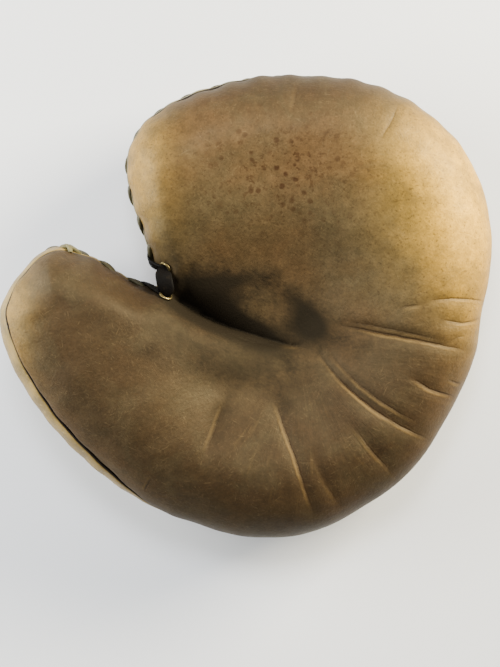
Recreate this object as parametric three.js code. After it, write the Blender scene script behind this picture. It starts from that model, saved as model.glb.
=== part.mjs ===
import * as THREE from "three";
import { mergeVertices } from "three/addons/utils/BufferGeometryUtils.js";

// A padded left-hand catcher's mitt that lies on its back, palm up. Lengths are in millimetres.
// X runs from the thumb side to the far side, Y from the heel to the finger tips, Z up.

// Turns a short table into rows with named columns
const rows = (names, list) =>
  list.map((values) => Object.fromEntries(names.map((name, i) => [name, values[i]])));

// Driving sizes
const LEATHER = 2.2;        // wall of the side bands and the back panels
const GAP = 0.3;            // play between pieces that touch
const CAVITY_CEILING = 36;  // height of the pad's back face over the hand
const CAVITY_RISE = 16;     // inset over which that face climbs to the ceiling
const ROLL_UNDER = 60;      // degrees behind the widest line where the pad leaves the back
const DENTS_FROM = 20;      // inset at which folds and creases have their full depth
const MERGE = 1e-4;         // points closer than this are one point
const CENTRE = { x: -3.0, y: 1.7 };  // middle of the whole mitt, which becomes the origin

// Widest outline of the pad, clockwise from the root of the notch
const OUTLINE = rows(["x", "y"], [
  [-55.0, 15.0],     // 0, root of the notch
  [-60.6, 28.8],
  [-66.9, 48.1],
  [-74.4, 70.6],
  [-76.3, 93.8],     // 4, left edge of the finger side
  [-66.0, 114.8],
  [-44.6, 129.8],
  [-21.4, 138.4],
  [3.8, 144.1],
  [30.0, 145.3],     // 9, top
  [63.8, 142.8],
  [96.9, 131.6],
  [123.8, 111.9],
  [141.9, 85.6],
  [150.6, 55.0],
  [151.3, 23.8],     // 15, right side
  [145.0, -5.0],
  [140.0, -32.5],
  [126.3, -63.1],
  [105.6, -96.9],
  [76.3, -121.9],    // 20, middle of the heel
  [41.9, -139.4],
  [5.0, -143.8],
  [-38.8, -133.1],
  [-73.1, -116.9],   // 24, base of the thumb
  [-103.8, -93.1],
  [-131.3, -64.4],
  [-151.3, -29.4],
  [-153.8, 6.3],     // 28, tip of the thumb
  [-126.9, 37.5],
  [-98.8, 31.9],
  [-72.5, 16.9],
]);
const ROWS = OUTLINE.length;

// Cross-sections of the rim at some outline rows. Heights: the widest line, the crest and the back.
// Insets from the outline: the crest and the foot of the back. Degrees in front of the widest line:
// the seam where the palm leather ends, and the lacing where the side band meets the back.
const SECTION_SIZES = ["wide", "crest_in", "crest", "seam", "lace", "back_in", "back"];
const SECTIONS = rows(["at", ...SECTION_SIZES], [
  [0.0, 40, 14, 62, 12, -12, 16, 0],
  [1.0, 43, 24, 74, 12, -6, 24, 0],
  [2.2, 46, 36, 82, 12, -5, 38, 0],
  [4.0, 48, 46, 86, 13, -8, 44, 0],
  [6.0, 47, 48, 85, 19, -8, 44, 0],
  [8.0, 44, 48, 82, 15, -10, 44, 0],
  [10.0, 42, 50, 81, 9, -12, 44, 0],
  [12.0, 40, 54, 79, 2, -16, 42, 0],
  [15.0, 40, 58, 79, -12, -30, 40, 0],
  [18.2, 40, 56, 78, -14, -34, 32, 0],
  [19.2, 40, 54, 77, -44, -52, 30, 16],
  [20.8, 40, 54, 77, -44, -52, 30, 16],
  [21.8, 41, 54, 78, -14, -34, 32, 0],
  [23.2, 44, 52, 81, 6, -16, 38, 0],
  [24.4, 48, 48, 85, 31, -16, 42, 0],
  [26.0, 54, 40, 91, 47, -16, 42, 0],
  [27.0, 57, 35, 94, 52, -15, 41, 0],
  [28.0, 58, 32, 96, 46, -14, 40, 0],
  [29.0, 57, 32, 96, 37, -8, 38, 0],
  [30.0, 53, 36, 88, 14, -7, 36, 0],
  [31.0, 46, 30, 77, 12, -7, 26, 0],
  [32.0, 40, 14, 62, 12, -12, 16, 0],
]);

// Heights of the palm face inside its rolled edge. The face is their mean, weighted by nearness.
const HEIGHTS = rows(["x", "y", "z"], [
  [-45, 75, 86],     // finger side, round its edge
  [-25, 105, 85],
  [15, 112, 82],
  [60, 108, 81],
  [95, 85, 80],
  [115, 45, 79],
  [112, 5, 78],
  [100, -35, 77],
  [80, -70, 77],
  [45, -98, 78],     // heel
  [5, -102, 80],
  [-40, -88, 84],
  [-78, -62, 90],    // thumb
  [-108, -32, 96],
  [-118, 2, 98],
  [-92, -4, 96],
  [-66, -14, 92],
  [-46, -38, 90],
  [-42, 40, 78],     // slopes round the pocket
  [-12, 64, 78],
  [30, 70, 77],
  [70, 50, 75],
  [78, 5, 73],
  [66, -32, 72],
  [38, -62, 72],
  [-4, -66, 74],
  [-22, 30, 66],
  [22, 34, 66],
  [50, 14, 64],
  [14, -44, 62],
  [-24, -36, 68],
  [46, -20, 58],     // pocket
  [20, 2, 54],
  [-10, 2, 56],
  [22, -22, 51],
  [-6, -18, 55],
  [-30, 6, 68],      // fold
  [-44, 8, 72],
  [-34, -22, 80],
  [-14, -30, 68],
]);
const HEIGHT_REACH = 19;     // how far each height spreads
const FACE_FROM = 1.2;       // inset at which the face has these heights, as a share of the crest's

// Middle line of the pad, from the middle of the thumb to the pocket. Every cross-section ends on it.
const MIDLINE = rows(["share", "x", "y"], [
  [0.00, -113.8, -2.5],
  [0.33, -82.5, -18.8],
  [0.66, -42.5, -35.0],
  [1.00, 25.0, -23.1],
]);
const THUMB_TIP_FROM = 27;   // outline row where the thumb's lower edge meets the tip
const THUMB_TIP_TO = 29;     // outline row where the tip meets the thumb's upper edge
const THUMB_EDGE_ROWS = 3;   // outline rows from the tip to the pocket end, on either edge
const LEAVE = 0.26;          // share of its length over which a section runs square to the outline
const SQUARE_FROM = 0.2;     // share of the middle line, at its start, where sections turn square to it
const SQUARE_TO = 0.35;      // and the share at its end where they stop to be square

// The deep fold between the thumb and the finger side: the points that pull its line, and its depth
const FOLD_LINE = rows(["x", "y"], [
  [-55, 15],
  [-36, -7],
  [-8, -16],
  [48, -28],
]);
const FOLD = rows(["along", "depth"], [
  [0.00, 12],
  [0.12, 23],
  [0.35, 25],
  [0.60, 15],
  [0.82, 5],
  [1.00, 0],
]);
const FOLD_REACH = { finger: 12, thumb: 5 };  // how far each flank of the fold spreads

// Broad creases of the leather: three points on each, how deep it is and how wide
const CREASES = rows(["x0", "y0", "x1", "y1", "x2", "y2", "depth", "width"], [
  [56, -11, 92, -18, 132, -26, 2.3, 4.5],
  [109, 4, 129, 5.5, 147, 4, 1.1, 3],
  [97, -42, 112, -50.5, 127, -55, 1.4, 3.5],
  [43, -29, 69, -57, 109, -80, 2.8, 5],
  [62, -72, 77, -90, 91, -105, 1.6, 5],
  [38, -90, 45, -105, 54, -120, 1.4, 4],
  [15, -57, 26, -87, 38, -124, 2.6, 5],
  [-15, -57, -21, -73, -27, -89, 3.2, 7],
  [-31, -47, -5, -50, 16, -56, 1.2, 8],
]);
const CREASE_END = 0.12;  // a crease's depth at its ends, as a share of a half sine

// Where each piece starts and ends along the outline rows
const SPANS = {
  finger: { from: 1 / 3, to: 18 },
  thumb: { from: 22, to: 31.8 },
};
const LACED = {
  finger: { from: 0.6, to: 17.7 },
  thumb: { from: 22.3, to: 31.3 },
};
const HAND_OPENING = { x: 46, y: -56, along: 66, across: 44, angle: 119 };

const MATERIALS = {
  palm: new THREE.MeshStandardMaterial({ color: 0x8c693f, roughness: 0.55, metalness: 0 }),
  fingerBand: new THREE.MeshStandardMaterial({ color: 0x6b6450, roughness: 0.6, metalness: 0 }),
  thumbBand: new THREE.MeshStandardMaterial({ color: 0xa8946a, roughness: 0.6, metalness: 0 }),
  back: new THREE.MeshStandardMaterial({ color: 0x7a5c38, roughness: 0.65, metalness: 0 }),
  lace: new THREE.MeshStandardMaterial({ color: 0x4c4330, roughness: 0.6, metalness: 0 }),
  web: new THREE.MeshStandardMaterial({ color: 0x211c15, roughness: 0.5, metalness: 0 }),
  brass: new THREE.MeshStandardMaterial({ color: 0xb99b58, roughness: 0.35, metalness: 0.9 }),
};

const radians = (degrees) => (degrees * Math.PI) / 180;
const degreesOf = (arc, radius) => ((arc / radius) * 180) / Math.PI;
const mix = (a, b, share) => a + (b - a) * share;
const clamp01 = (value) => Math.min(1, Math.max(0, value));
const ease = (value) => clamp01(value) ** 2 * (3 - 2 * clamp01(value));
const steps = (from, to, count) =>
  Array.from({ length: count + 1 }, (_, i) => mix(from, to, i / count));

// Value of a column at a key, by a cubic through the rows that never overshoots them
function column(table, key, name, at) {
  const last = table.length - 1;
  if (at <= table[0][key]) return table[0][name];
  if (at >= table[last][key]) return table[last][name];
  const i = table.findIndex((row) => row[key] > at) - 1;
  const slope = (k) => (table[k + 1][name] - table[k][name]) / (table[k + 1][key] - table[k][key]);
  const tangent = (k) => {
    if (k === 0 || k === last) return 0;
    const before = slope(k - 1);
    const after = slope(k);
    return before * after <= 0 ? 0 : (2 * before * after) / (before + after);
  };
  const span = table[i + 1][key] - table[i][key];
  const u = (at - table[i][key]) / span;
  const rise = table[i + 1][name] - table[i][name];
  const bend = (tangent(i) * (1 - u) - tangent(i + 1) * u) * span - rise * (1 - 2 * u);
  return table[i][name] + rise * u + u * (1 - u) * bend;
}

// Smooth closed curve through the outline rows
function outlinePoint(t) {
  const i = Math.floor(t);
  const u = t - i;
  const row = (k) => OUTLINE[(((i + k) % ROWS) + ROWS) % ROWS];
  const along = (name) => {
    const [a, b, c, d] = [row(-1)[name], row(0)[name], row(1)[name], row(2)[name]];
    return b + 0.5 * u * (c - a + u * (2 * a - 5 * b + 4 * c - d + u * (3 * (b - c) + d - a)));
  };
  return new THREE.Vector2(along("x"), along("y"));
}

const ROW_STEP = 0.02;  // a small step along the outline

function outlineInward(t) {
  const ahead = outlinePoint(t + ROW_STEP).sub(outlinePoint(t - ROW_STEP)).normalize();
  return new THREE.Vector2(ahead.y, -ahead.x);
}

// Share of the middle line, from thumb to pocket, on which the section of an outline row ends
function midlineShare(t) {
  const pastTip = t > THUMB_TIP_TO ? t - THUMB_TIP_TO : THUMB_TIP_FROM - t;
  const inTip = t >= THUMB_TIP_FROM && t <= THUMB_TIP_TO;
  return inTip ? 0 : Number(clamp01(pastTip / THUMB_EDGE_ROWS).toFixed(9));
}

const midlinePoint = (share) => new THREE.Vector2(
  column(MIDLINE, "share", "x", share), column(MIDLINE, "share", "y", share));

// The direction in which a section that starts at a point comes square to the middle line
function squareTo(share, start) {
  const step = 0.01;
  const ahead = midlinePoint(share + step).sub(midlinePoint(share - step)).normalize();
  const square = new THREE.Vector2(-ahead.y, ahead.x);
  return square.dot(start.clone().sub(midlinePoint(share))) < 0 ? square.negate() : square;
}

// Everything about the cross-section at an outline row: its path in plan and its heights
function section(row) {
  const t = ((row % ROWS) + ROWS) % ROWS;
  const start = outlinePoint(t);
  const share = midlineShare(t);
  const end = midlinePoint(share);
  const length = start.distanceTo(end);
  const leave = start.clone().addScaledVector(outlineInward(t), length * LEAVE);
  const level = ease(share / SQUARE_FROM) * ease((1 - share) / SQUARE_TO);
  const straight = start.clone().sub(end).divideScalar(3);
  const square = squareTo(share, start).multiplyScalar(length / 3);
  const arrive = end.clone().add(straight.lerp(square, level));
  const values = { end, length, path: new THREE.CubicBezierCurve(start, leave, arrive, end) };
  for (const name of SECTION_SIZES) values[name] = column(SECTIONS, "at", name, t);
  return values;
}

// Plan point at a share of the way from the outline to the middle line
const planPoint = (s, way) => s.path.getPoint(way);

// Where on a path of plan points a point is nearest: how far off, how far along, on which side
function nearestOn(path, point) {
  let nearest = { distance: Infinity, along: 0, side: 1 };
  for (let i = 0; i < path.length - 1; i += 1) {
    const edge = path[i + 1].clone().sub(path[i]);
    const offset = point.clone().sub(path[i]);
    const way = clamp01(offset.dot(edge) / edge.lengthSq());
    offset.addScaledVector(edge, -way);
    if (offset.length() < nearest.distance) {
      const along = (i + way) / (path.length - 1);
      nearest = { distance: offset.length(), along, side: edge.cross(offset) };
    }
  }
  return nearest;
}

const PATH_PARTS = 16;
const foldPath = new THREE.CubicBezierCurve(...FOLD_LINE.map(({ x, y }) => new THREE.Vector2(x, y)))
  .getPoints(PATH_PARTS);

// How deep the fold is at a plan point: the thumb's flank is steeper than the fingers'
function foldDepth(point) {
  const { distance, along, side } = nearestOn(foldPath, point);
  const reach = side > 0 ? FOLD_REACH.finger : FOLD_REACH.thumb;
  return column(FOLD, "along", "depth", along) * Math.exp(-distance / reach);
}

// A smooth curve through the three points of a crease
function creasePath({ x0, y0, x1, y1, x2, y2 }) {
  const pull = new THREE.Vector2(2 * x1 - (x0 + x2) / 2, 2 * y1 - (y0 + y2) / 2);
  return new THREE.QuadraticBezierCurve(new THREE.Vector2(x0, y0), pull, new THREE.Vector2(x2, y2))
    .getPoints(PATH_PARTS);
}
const creasePaths = CREASES.map(creasePath);

// How deep the creases are at a plan point
function creaseDepth(point) {
  return CREASES.reduce((sum, crease, i) => {
    const { distance, along } = nearestOn(creasePaths[i], point);
    const taper = Math.sin(Math.PI * mix(CREASE_END, 1 - CREASE_END, along));
    return sum + crease.depth * taper * Math.exp(-((distance / crease.width) ** 2));
  }, 0);
}

// Height of the palm face at a plan point, without its rolled edge, fold and creases
function faceHeight(point) {
  let total = 0;
  let weight = 0;
  for (const { x, y, z } of HEIGHTS) {
    const near = Math.exp(-((point.x - x) ** 2 + (point.y - y) ** 2) / (2 * HEIGHT_REACH ** 2));
    total += near * z;
    weight += near;
  }
  return total / weight;
}

// Point of the palm face at an inset from the outline
function palmPoint(s, inset) {
  const plan = planPoint(s, inset / s.length);
  const reach = Math.min(s.length, s.crest_in * FACE_FROM);
  const face = mix(s.crest, faceHeight(plan), ease(inset / reach));
  const rolled = Math.sqrt(1 - (1 - clamp01(inset / s.crest_in)) ** 2);
  const dents = (foldDepth(plan) + creaseDepth(plan)) * ease(inset / DENTS_FROM);
  return new THREE.Vector3(plan.x, plan.y, s.wide + (face - s.wide) * rolled - dents);
}

// Point of the rim at an angle in front of the widest line, set in from the outer skin
function rimPoint(s, degrees, depth) {
  const angle = radians(degrees);
  const front = degrees > 0;
  const across = front ? s.crest_in : s.back_in;
  const up = front ? s.crest - s.wide : s.wide - s.back;
  const normal = new THREE.Vector2(Math.cos(angle) / across, Math.sin(angle) / up).normalize();
  const inset = across * (1 - Math.cos(angle)) + depth * normal.x;
  const plan = planPoint(s, Math.max(0, inset / s.length));
  const outside = Math.min(0, inset);
  if (outside < 0) {
    const outward = s.path.v0.clone().sub(s.path.v1).normalize();
    plan.addScaledVector(outward, -outside);
  }
  return new THREE.Vector3(plan.x, plan.y, s.wide + up * Math.sin(angle) - depth * normal.y);
}

// Outline rows at which sections are taken, closer together on the thumb
const STATIONS_PER_ROW = { finger: 3, thumb: 5 };
const THUMB_FROM = 24;
const STATIONS = OUTLINE.flatMap((_, row) => {
  const parts = row >= THUMB_FROM ? STATIONS_PER_ROW.thumb : STATIONS_PER_ROW.finger;
  return steps(row, row + 1, parts).slice(0, parts);
});
const stationsIn = ({ from, to }) => STATIONS.filter((t) => t >= from - MERGE && t <= to + MERGE);

// Closed mesh from loops of points, one loop at each station. A wall that hangs on a shared line
// between two stations is left out where skipWall says so.
function loft(loops, { closed = false, capped = false, skipWall = () => false }) {
  const positions = [];
  const triangle = (a, b, c) => {
    const shortest = Math.min(a.distanceTo(b), b.distanceTo(c), c.distanceTo(a));
    if (shortest > MERGE) positions.push(...a.toArray(), ...b.toArray(), ...c.toArray());
  };
  const quad = (a, b, c, d) => {
    if (a.distanceTo(c) <= b.distanceTo(d)) {
      triangle(a, b, c);
      triangle(a, c, d);
    } else {
      triangle(a, b, d);
      triangle(b, c, d);
    }
  };
  const count = loops[0].length;
  const spans = closed ? loops.length : loops.length - 1;
  for (let i = 0; i < spans; i += 1) {
    const here = loops[i];
    const next = loops[(i + 1) % loops.length];
    for (let k = 0; k < count; k += 1) {
      const l = (k + 1) % count;
      if (!skipWall(i, k)) quad(here[k], here[l], next[l], next[k]);
    }
  }
  if (capped) {
    const half = count / 2;
    const cap = (loop, flip) => {
      for (let k = 0; k < half - 1; k += 1) {
        const face = [loop[k], loop[count - 1 - k], loop[count - 2 - k], loop[k + 1]];
        quad(...(flip ? face.reverse() : face));
      }
    };
    cap(loops[0], false);
    cap(loops[loops.length - 1], true);
  }
  const geometry = new THREE.BufferGeometry();
  geometry.setAttribute("position", new THREE.Float32BufferAttribute(positions, 3));
  return facingOut(mergeVertices(geometry, MERGE));
}

// Turns every face round if the mesh is inside out
function facingOut(geometry) {
  const point = geometry.attributes.position;
  const index = geometry.index.array;
  const [a, b, c] = [new THREE.Vector3(), new THREE.Vector3(), new THREE.Vector3()];
  let volume = 0;
  for (let i = 0; i < index.length; i += 3) {
    a.fromBufferAttribute(point, index[i]);
    b.fromBufferAttribute(point, index[i + 1]);
    c.fromBufferAttribute(point, index[i + 2]);
    volume += a.dot(b.cross(c));
  }
  if (volume < 0) {
    for (let i = 0; i < index.length; i += 3) {
      [index[i + 1], index[i + 2]] = [index[i + 2], index[i + 1]];
    }
  }
  geometry.computeVertexNormals();
  return geometry;
}

// A three.js solid with only its places, one vertex for each
function welded(geometry) {
  geometry.deleteAttribute("uv");
  geometry.deleteAttribute("normal");
  return facingOut(mergeVertices(geometry, MERGE));
}

// How many faces each stretch of a cross-section has
const FACE_PARTS = 11;
const ROLL_PARTS = 5;
const BAND_PARTS = 2;
const UNDER_PARTS = 2;
const CEILING_STEPS = [0.35, 0.7, 1];

// The pad: palm face, edge roll, the step for the side band, and the face over the hand
function padGeometry() {
  const loops = STATIONS.map((t) => {
    const s = section(t);
    const depth = LEATHER + GAP;
    const face = steps(s.length, s.crest_in, FACE_PARTS).map((inset) => palmPoint(s, inset));
    const roll = steps(90, s.seam, ROLL_PARTS).slice(1).map((angle) => {
      const inset = s.crest_in * (1 - Math.cos(radians(angle)));
      return angle > 0 ? palmPoint(s, inset) : rimPoint(s, angle, 0);
    });
    const step = steps(s.seam, s.lace, BAND_PARTS).map((angle) => rimPoint(s, angle, depth));
    const under = steps(s.lace, -ROLL_UNDER, UNDER_PARTS).slice(1)
      .map((angle) => rimPoint(s, angle, depth));
    const foot = under[under.length - 1];
    const footInset = s.back_in * (1 - Math.cos(radians(ROLL_UNDER)));
    const ceiling = CEILING_STEPS.map((share) => {
      const plan = planPoint(s, (footInset + depth + CAVITY_RISE * share) / s.length);
      return new THREE.Vector3(plan.x, plan.y, mix(foot.z, CAVITY_CEILING, ease(share)));
    });
    const centre = new THREE.Vector3(s.end.x, s.end.y, CAVITY_CEILING);
    return [...face, ...roll, ...step, ...under, ...ceiling, centre];
  });
  const last = loops[0].length - 1;
  return loft(loops, { closed: true, skipWall: (_, k) => k === last });
}

// Degrees on the rim that keep two pieces the gap apart
const clearDegrees = (s) => degreesOf(GAP, Math.max(s.wide, s.back_in));

// A side band: a strip of leather round the rim, from the palm seam to the lacing
function bandGeometry(span) {
  const loops = stationsIn(span).map((t) => {
    const s = section(t);
    const angles = steps(s.seam - clearDegrees(s), s.lace, BAND_PARTS);
    const outer = angles.map((angle) => rimPoint(s, angle, 0));
    const inner = angles.map((angle) => rimPoint(s, angle, LEATHER)).reverse();
    return [...outer, ...inner];
  });
  return loft(loops, { capped: true });
}

const OPENING_PARTS = 400;  // places tried along a section for the edge of the hand opening

// Share of a section that lies outside the hand opening
function outsideOpening(s) {
  const turn = radians(HAND_OPENING.angle);
  const isInside = (way) => {
    const p = planPoint(s, way).sub(new THREE.Vector2(HAND_OPENING.x, HAND_OPENING.y));
    const along = (p.x * Math.cos(turn) + p.y * Math.sin(turn)) / HAND_OPENING.along;
    const across = (p.y * Math.cos(turn) - p.x * Math.sin(turn)) / HAND_OPENING.across;
    return along * along + across * across < 1;
  };
  return steps(0, 1, OPENING_PARTS).find(isInside) ?? 1;
}

// A back panel: from the lacing round the rim to the flat back, as far as the hand opening
const FLAT_STEPS = [0.5, 1];

function backGeometry(span) {
  const sections = stationsIn(span).map((t) => section(t));
  const ends = sections.map((s) => outsideOpening(s));
  const loops = sections.map((s, i) => {
    const angles = [
      ...steps(s.lace - clearDegrees(s), -ROLL_UNDER, UNDER_PARTS), -(90 + ROLL_UNDER) / 2, -90,
    ];
    const flatFrom = s.back_in / s.length;
    const flat = (height) => FLAT_STEPS.map((share) => {
      const plan = planPoint(s, mix(flatFrom, ends[i], share));
      return new THREE.Vector3(plan.x, plan.y, height);
    });
    const outer = [...angles.map((angle) => rimPoint(s, angle, 0)), ...flat(0)];
    const inner = [...angles.map((angle) => rimPoint(s, angle, LEATHER)), ...flat(LEATHER)];
    return [...outer, ...inner.reverse()];
  });
  const wall = loops[0].length / 2 - 1;
  const skipWall = (i, k) => k === wall && ends[i] === 1 && ends[i + 1] === 1;
  return loft(loops, { capped: true, skipWall });
}

// A flat leather thong through points that each carry the direction out of the surface
function thongGeometry(path, widthAt, thickness) {
  const loops = path.map(({ point, out }, i) => {
    const before = path[Math.max(0, i - 1)].point;
    const after = path[Math.min(path.length - 1, i + 1)].point;
    const ahead = after.clone().sub(before).normalize();
    const side = ahead.clone().cross(out).normalize().multiplyScalar(widthAt(i / (path.length - 1)) / 2);
    const rise = side.clone().cross(ahead).normalize().multiplyScalar(thickness);
    const corner = (sign, lifted) =>
      point.clone().addScaledVector(side, sign).addScaledVector(rise, lifted);
    return [corner(-1, 0), corner(1, 0), corner(1, 1), corner(-1, 1)];
  });
  return loft(loops, { capped: true });
}

// The lacing: a thong that runs in a zigzag across the joint of side band and back panel
const LACE = { width: 4, thickness: 1.4, pitch: 19.5, marks: 4, reach: 5.5, lift: 0.55 };

function lacingGeometry(span) {
  const path = [];
  let travelled = 0;
  let previous = outlinePoint(span.from);
  let nextMark = 0;
  for (let t = span.from; t <= span.to; t += ROW_STEP) {
    const point = outlinePoint(t);
    travelled += point.distanceTo(previous);
    previous = point;
    if (travelled < nextMark) continue;
    nextMark += LACE.pitch / LACE.marks;
    const s = section(t);
    const swing = Math.cos((travelled / LACE.pitch) * 2 * Math.PI) * LACE.reach;
    const angle = s.lace + degreesOf(swing, s.wide);
    const outer = rimPoint(s, angle, -LACE.lift);
    path.push({ point: outer, out: outer.clone().sub(rimPoint(s, angle, 1)).normalize() });
  }
  return thongGeometry(path, () => LACE.width, LACE.thickness);
}

// Outward direction of the palm face at an inset of a section
const NEARBY = { row: 0.05, inset: 0.5 };

function palmNormal(t, inset) {
  const at = (dt, di) => palmPoint(section(t + dt), inset + di);
  const along = at(NEARBY.row, 0).sub(at(-NEARBY.row, 0));
  const inward = at(0, NEARBY.inset).sub(at(0, -NEARBY.inset));
  const normal = inward.cross(along).normalize();
  return normal.z < 0 ? normal.negate() : normal;
}

// Eyelets on either side of the fold by the notch, and the strap that ties them together
const EYELET = { radius: 3.5, wire: 0.85, lift: 1.35, wireSides: 6, sides: 14 };
const EYELETS = rows(["name", "at", "inset"], [
  ["eyelet_finger", 0.62, 8],
  ["eyelet_thumb", 31.86, 11],
]);
const WEB = { width: 8, end: 3.2, widen: 1.2, thickness: 1.6, lift: 0.5, rise: 9, parts: 10 };

function eyeletSeat({ at, inset }) {
  return { point: palmPoint(section(at), inset), out: palmNormal(at, inset) };
}

function eyeletMesh(row) {
  const { point, out } = eyeletSeat(row);
  const ring = new THREE.TorusGeometry(EYELET.radius, EYELET.wire, EYELET.wireSides, EYELET.sides);
  const mesh = named(row.name, welded(ring), MATERIALS.brass);
  mesh.position.copy(point.addScaledVector(out, EYELET.lift));
  mesh.quaternion.setFromUnitVectors(new THREE.Vector3(0, 0, 1), out);
  return mesh;
}

function webStrapGeometry() {
  const [from, to] = EYELETS.map(eyeletSeat);
  const start = from.point.clone().addScaledVector(from.out, WEB.lift);
  const end = to.point.clone().addScaledVector(to.out, WEB.lift);
  const curve = new THREE.CubicBezierCurve3(
    start, start.clone().addScaledVector(from.out, WEB.rise),
    end.clone().addScaledVector(to.out, WEB.rise), end);
  const across = new THREE.Vector3(1, 0, 0);
  const path = steps(0, 1, WEB.parts).map((u) => {
    const out = curve.getTangent(u).cross(across).normalize();
    return { point: curve.getPoint(u), out };
  });
  const widthAt = (u) => mix(WEB.end, WEB.width, ease(Math.sin(Math.PI * u) * WEB.widen));
  return thongGeometry(path, widthAt, WEB.thickness);
}

// The wrist strap across the hand opening, sewn inside both back panels, and its button
const STRAP = { width: 24, thickness: 2.6, parts: 6, from: { x: 15, y: -108 }, to: { x: 96, y: -50 } };
const BUTTON = { radius: 8, height: 1.7, sides: 20, along: 0.32 };

const strapPoint = (u, z) =>
  new THREE.Vector3(mix(STRAP.from.x, STRAP.to.x, u), mix(STRAP.from.y, STRAP.to.y, u), z);

function wristStrapGeometry() {
  const out = new THREE.Vector3(0, 0, 1);
  const path = steps(0, 1, STRAP.parts).map((u) => ({ point: strapPoint(u, LEATHER + GAP), out }));
  return thongGeometry(path, () => STRAP.width, STRAP.thickness);
}

function buttonMesh() {
  const disc = new THREE.CylinderGeometry(BUTTON.radius, BUTTON.radius, BUTTON.height, BUTTON.sides);
  const mesh = named("strap_button", welded(disc), MATERIALS.brass);
  mesh.rotation.x = Math.PI / 2;
  mesh.position.copy(strapPoint(BUTTON.along, LEATHER - BUTTON.height / 2));
  return mesh;
}

function named(name, geometry, material) {
  const mesh = new THREE.Mesh(geometry, material);
  mesh.name = name;
  return mesh;
}

const mitt = new THREE.Group();
mitt.add(
  named("palm_pad", padGeometry(), MATERIALS.palm),
  named("finger_band", bandGeometry(SPANS.finger), MATERIALS.fingerBand),
  named("thumb_band", bandGeometry(SPANS.thumb), MATERIALS.thumbBand),
  named("finger_back", backGeometry(SPANS.finger), MATERIALS.back),
  named("thumb_back", backGeometry(SPANS.thumb), MATERIALS.back),
  named("finger_lace", lacingGeometry(LACED.finger), MATERIALS.lace),
  named("thumb_lace", lacingGeometry(LACED.thumb), MATERIALS.lace),
  named("web_strap", webStrapGeometry(), MATERIALS.web),
  named("wrist_strap", wristStrapGeometry(), MATERIALS.back),
  buttonMesh(),
  ...EYELETS.map(eyeletMesh),
);
mitt.position.set(-CENTRE.x, -CENTRE.y, 0);

export default mitt;
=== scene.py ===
import math
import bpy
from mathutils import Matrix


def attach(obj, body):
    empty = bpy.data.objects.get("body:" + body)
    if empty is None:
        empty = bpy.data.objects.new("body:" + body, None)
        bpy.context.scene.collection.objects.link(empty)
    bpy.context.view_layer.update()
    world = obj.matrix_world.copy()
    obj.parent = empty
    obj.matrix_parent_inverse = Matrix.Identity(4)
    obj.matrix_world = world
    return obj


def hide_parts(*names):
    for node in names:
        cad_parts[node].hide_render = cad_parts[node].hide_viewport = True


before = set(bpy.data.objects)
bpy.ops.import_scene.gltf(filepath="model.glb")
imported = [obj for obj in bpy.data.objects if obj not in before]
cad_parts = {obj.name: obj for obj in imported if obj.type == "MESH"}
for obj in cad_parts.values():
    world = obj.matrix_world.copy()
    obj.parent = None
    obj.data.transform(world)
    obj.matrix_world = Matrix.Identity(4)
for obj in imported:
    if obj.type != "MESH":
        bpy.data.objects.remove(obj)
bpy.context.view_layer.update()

from types import SimpleNamespace

import bpy
import numpy as np
from mathutils import Vector

# A padded left-hand catcher's mitt that lies on its back, palm up.
# Lengths are in millimetres up to the point where a mesh is made. X runs from the thumb side to
# the far side, Y from the heel to the finger tips, Z up.

MM = 0.001
CENTRE = np.array([-3.0, 1.7, 0.0])  # middle of the whole mitt, which is the frame's origin
LEATHER = 2.2                        # wall of the side bands and the back panels
GAP = 0.3                            # play between pieces that touch
CAVITY_CEILING = 36                  # height of the pad's back face over the hand
CAVITY_RISE = 16                     # inset over which that face climbs to the ceiling
QUARTER = 90                         # degrees from the widest line to the crest, or to the flat back
ROLL_UNDER = 60                      # degrees behind the widest line where the pad leaves the back
DENTS_FROM = 20                      # inset at which folds and creases have their full depth
TINY = 1e-12                         # keeps a division away from zero
WELD_DIGITS = 4                      # points that agree to this many digits are one
SHARE_DIGITS = 9                     # digits that a share of the middle line is rounded to


def table(names, rows):
    """The columns of a short table, by name."""
    return {name: np.array([row[i] for row in rows], float) for i, name in enumerate(names.split())}


def named_rows(names, rows):
    """The rows of a short table by name, each with named columns."""
    return {key: dict(zip(names.split(), row)) for key, row in rows.items()}


# Widest outline of the pad, clockwise from the root of the notch, four rows to a line
OUTLINE = table("x y", [
    (-55.0, 15.0), (-60.6, 28.8), (-66.9, 48.1), (-74.4, 70.6),  # 0, root of the notch
    (-76.3, 93.8), (-66.0, 114.8), (-44.6, 129.8), (-21.4, 138.4),  # 4, left of the finger side
    (3.8, 144.1), (30.0, 145.3), (63.8, 142.8), (96.9, 131.6),  # 8, top
    (123.8, 111.9), (141.9, 85.6), (150.6, 55.0), (151.3, 23.8),  # 12, right side
    (145.0, -5.0), (140.0, -32.5), (126.3, -63.1), (105.6, -96.9),
    (76.3, -121.9), (41.9, -139.4), (5.0, -143.8), (-38.8, -133.1),  # 20, heel
    (-73.1, -116.9), (-103.8, -93.1), (-129.9, -63.4), (-149.2, -28.7),  # 24, base of the thumb
    (-152.2, 2.8), (-125.6, 35.8), (-98.8, 31.9), (-72.5, 16.9),  # 28, tip of the thumb
])
ROWS = len(OUTLINE["x"])

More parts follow.
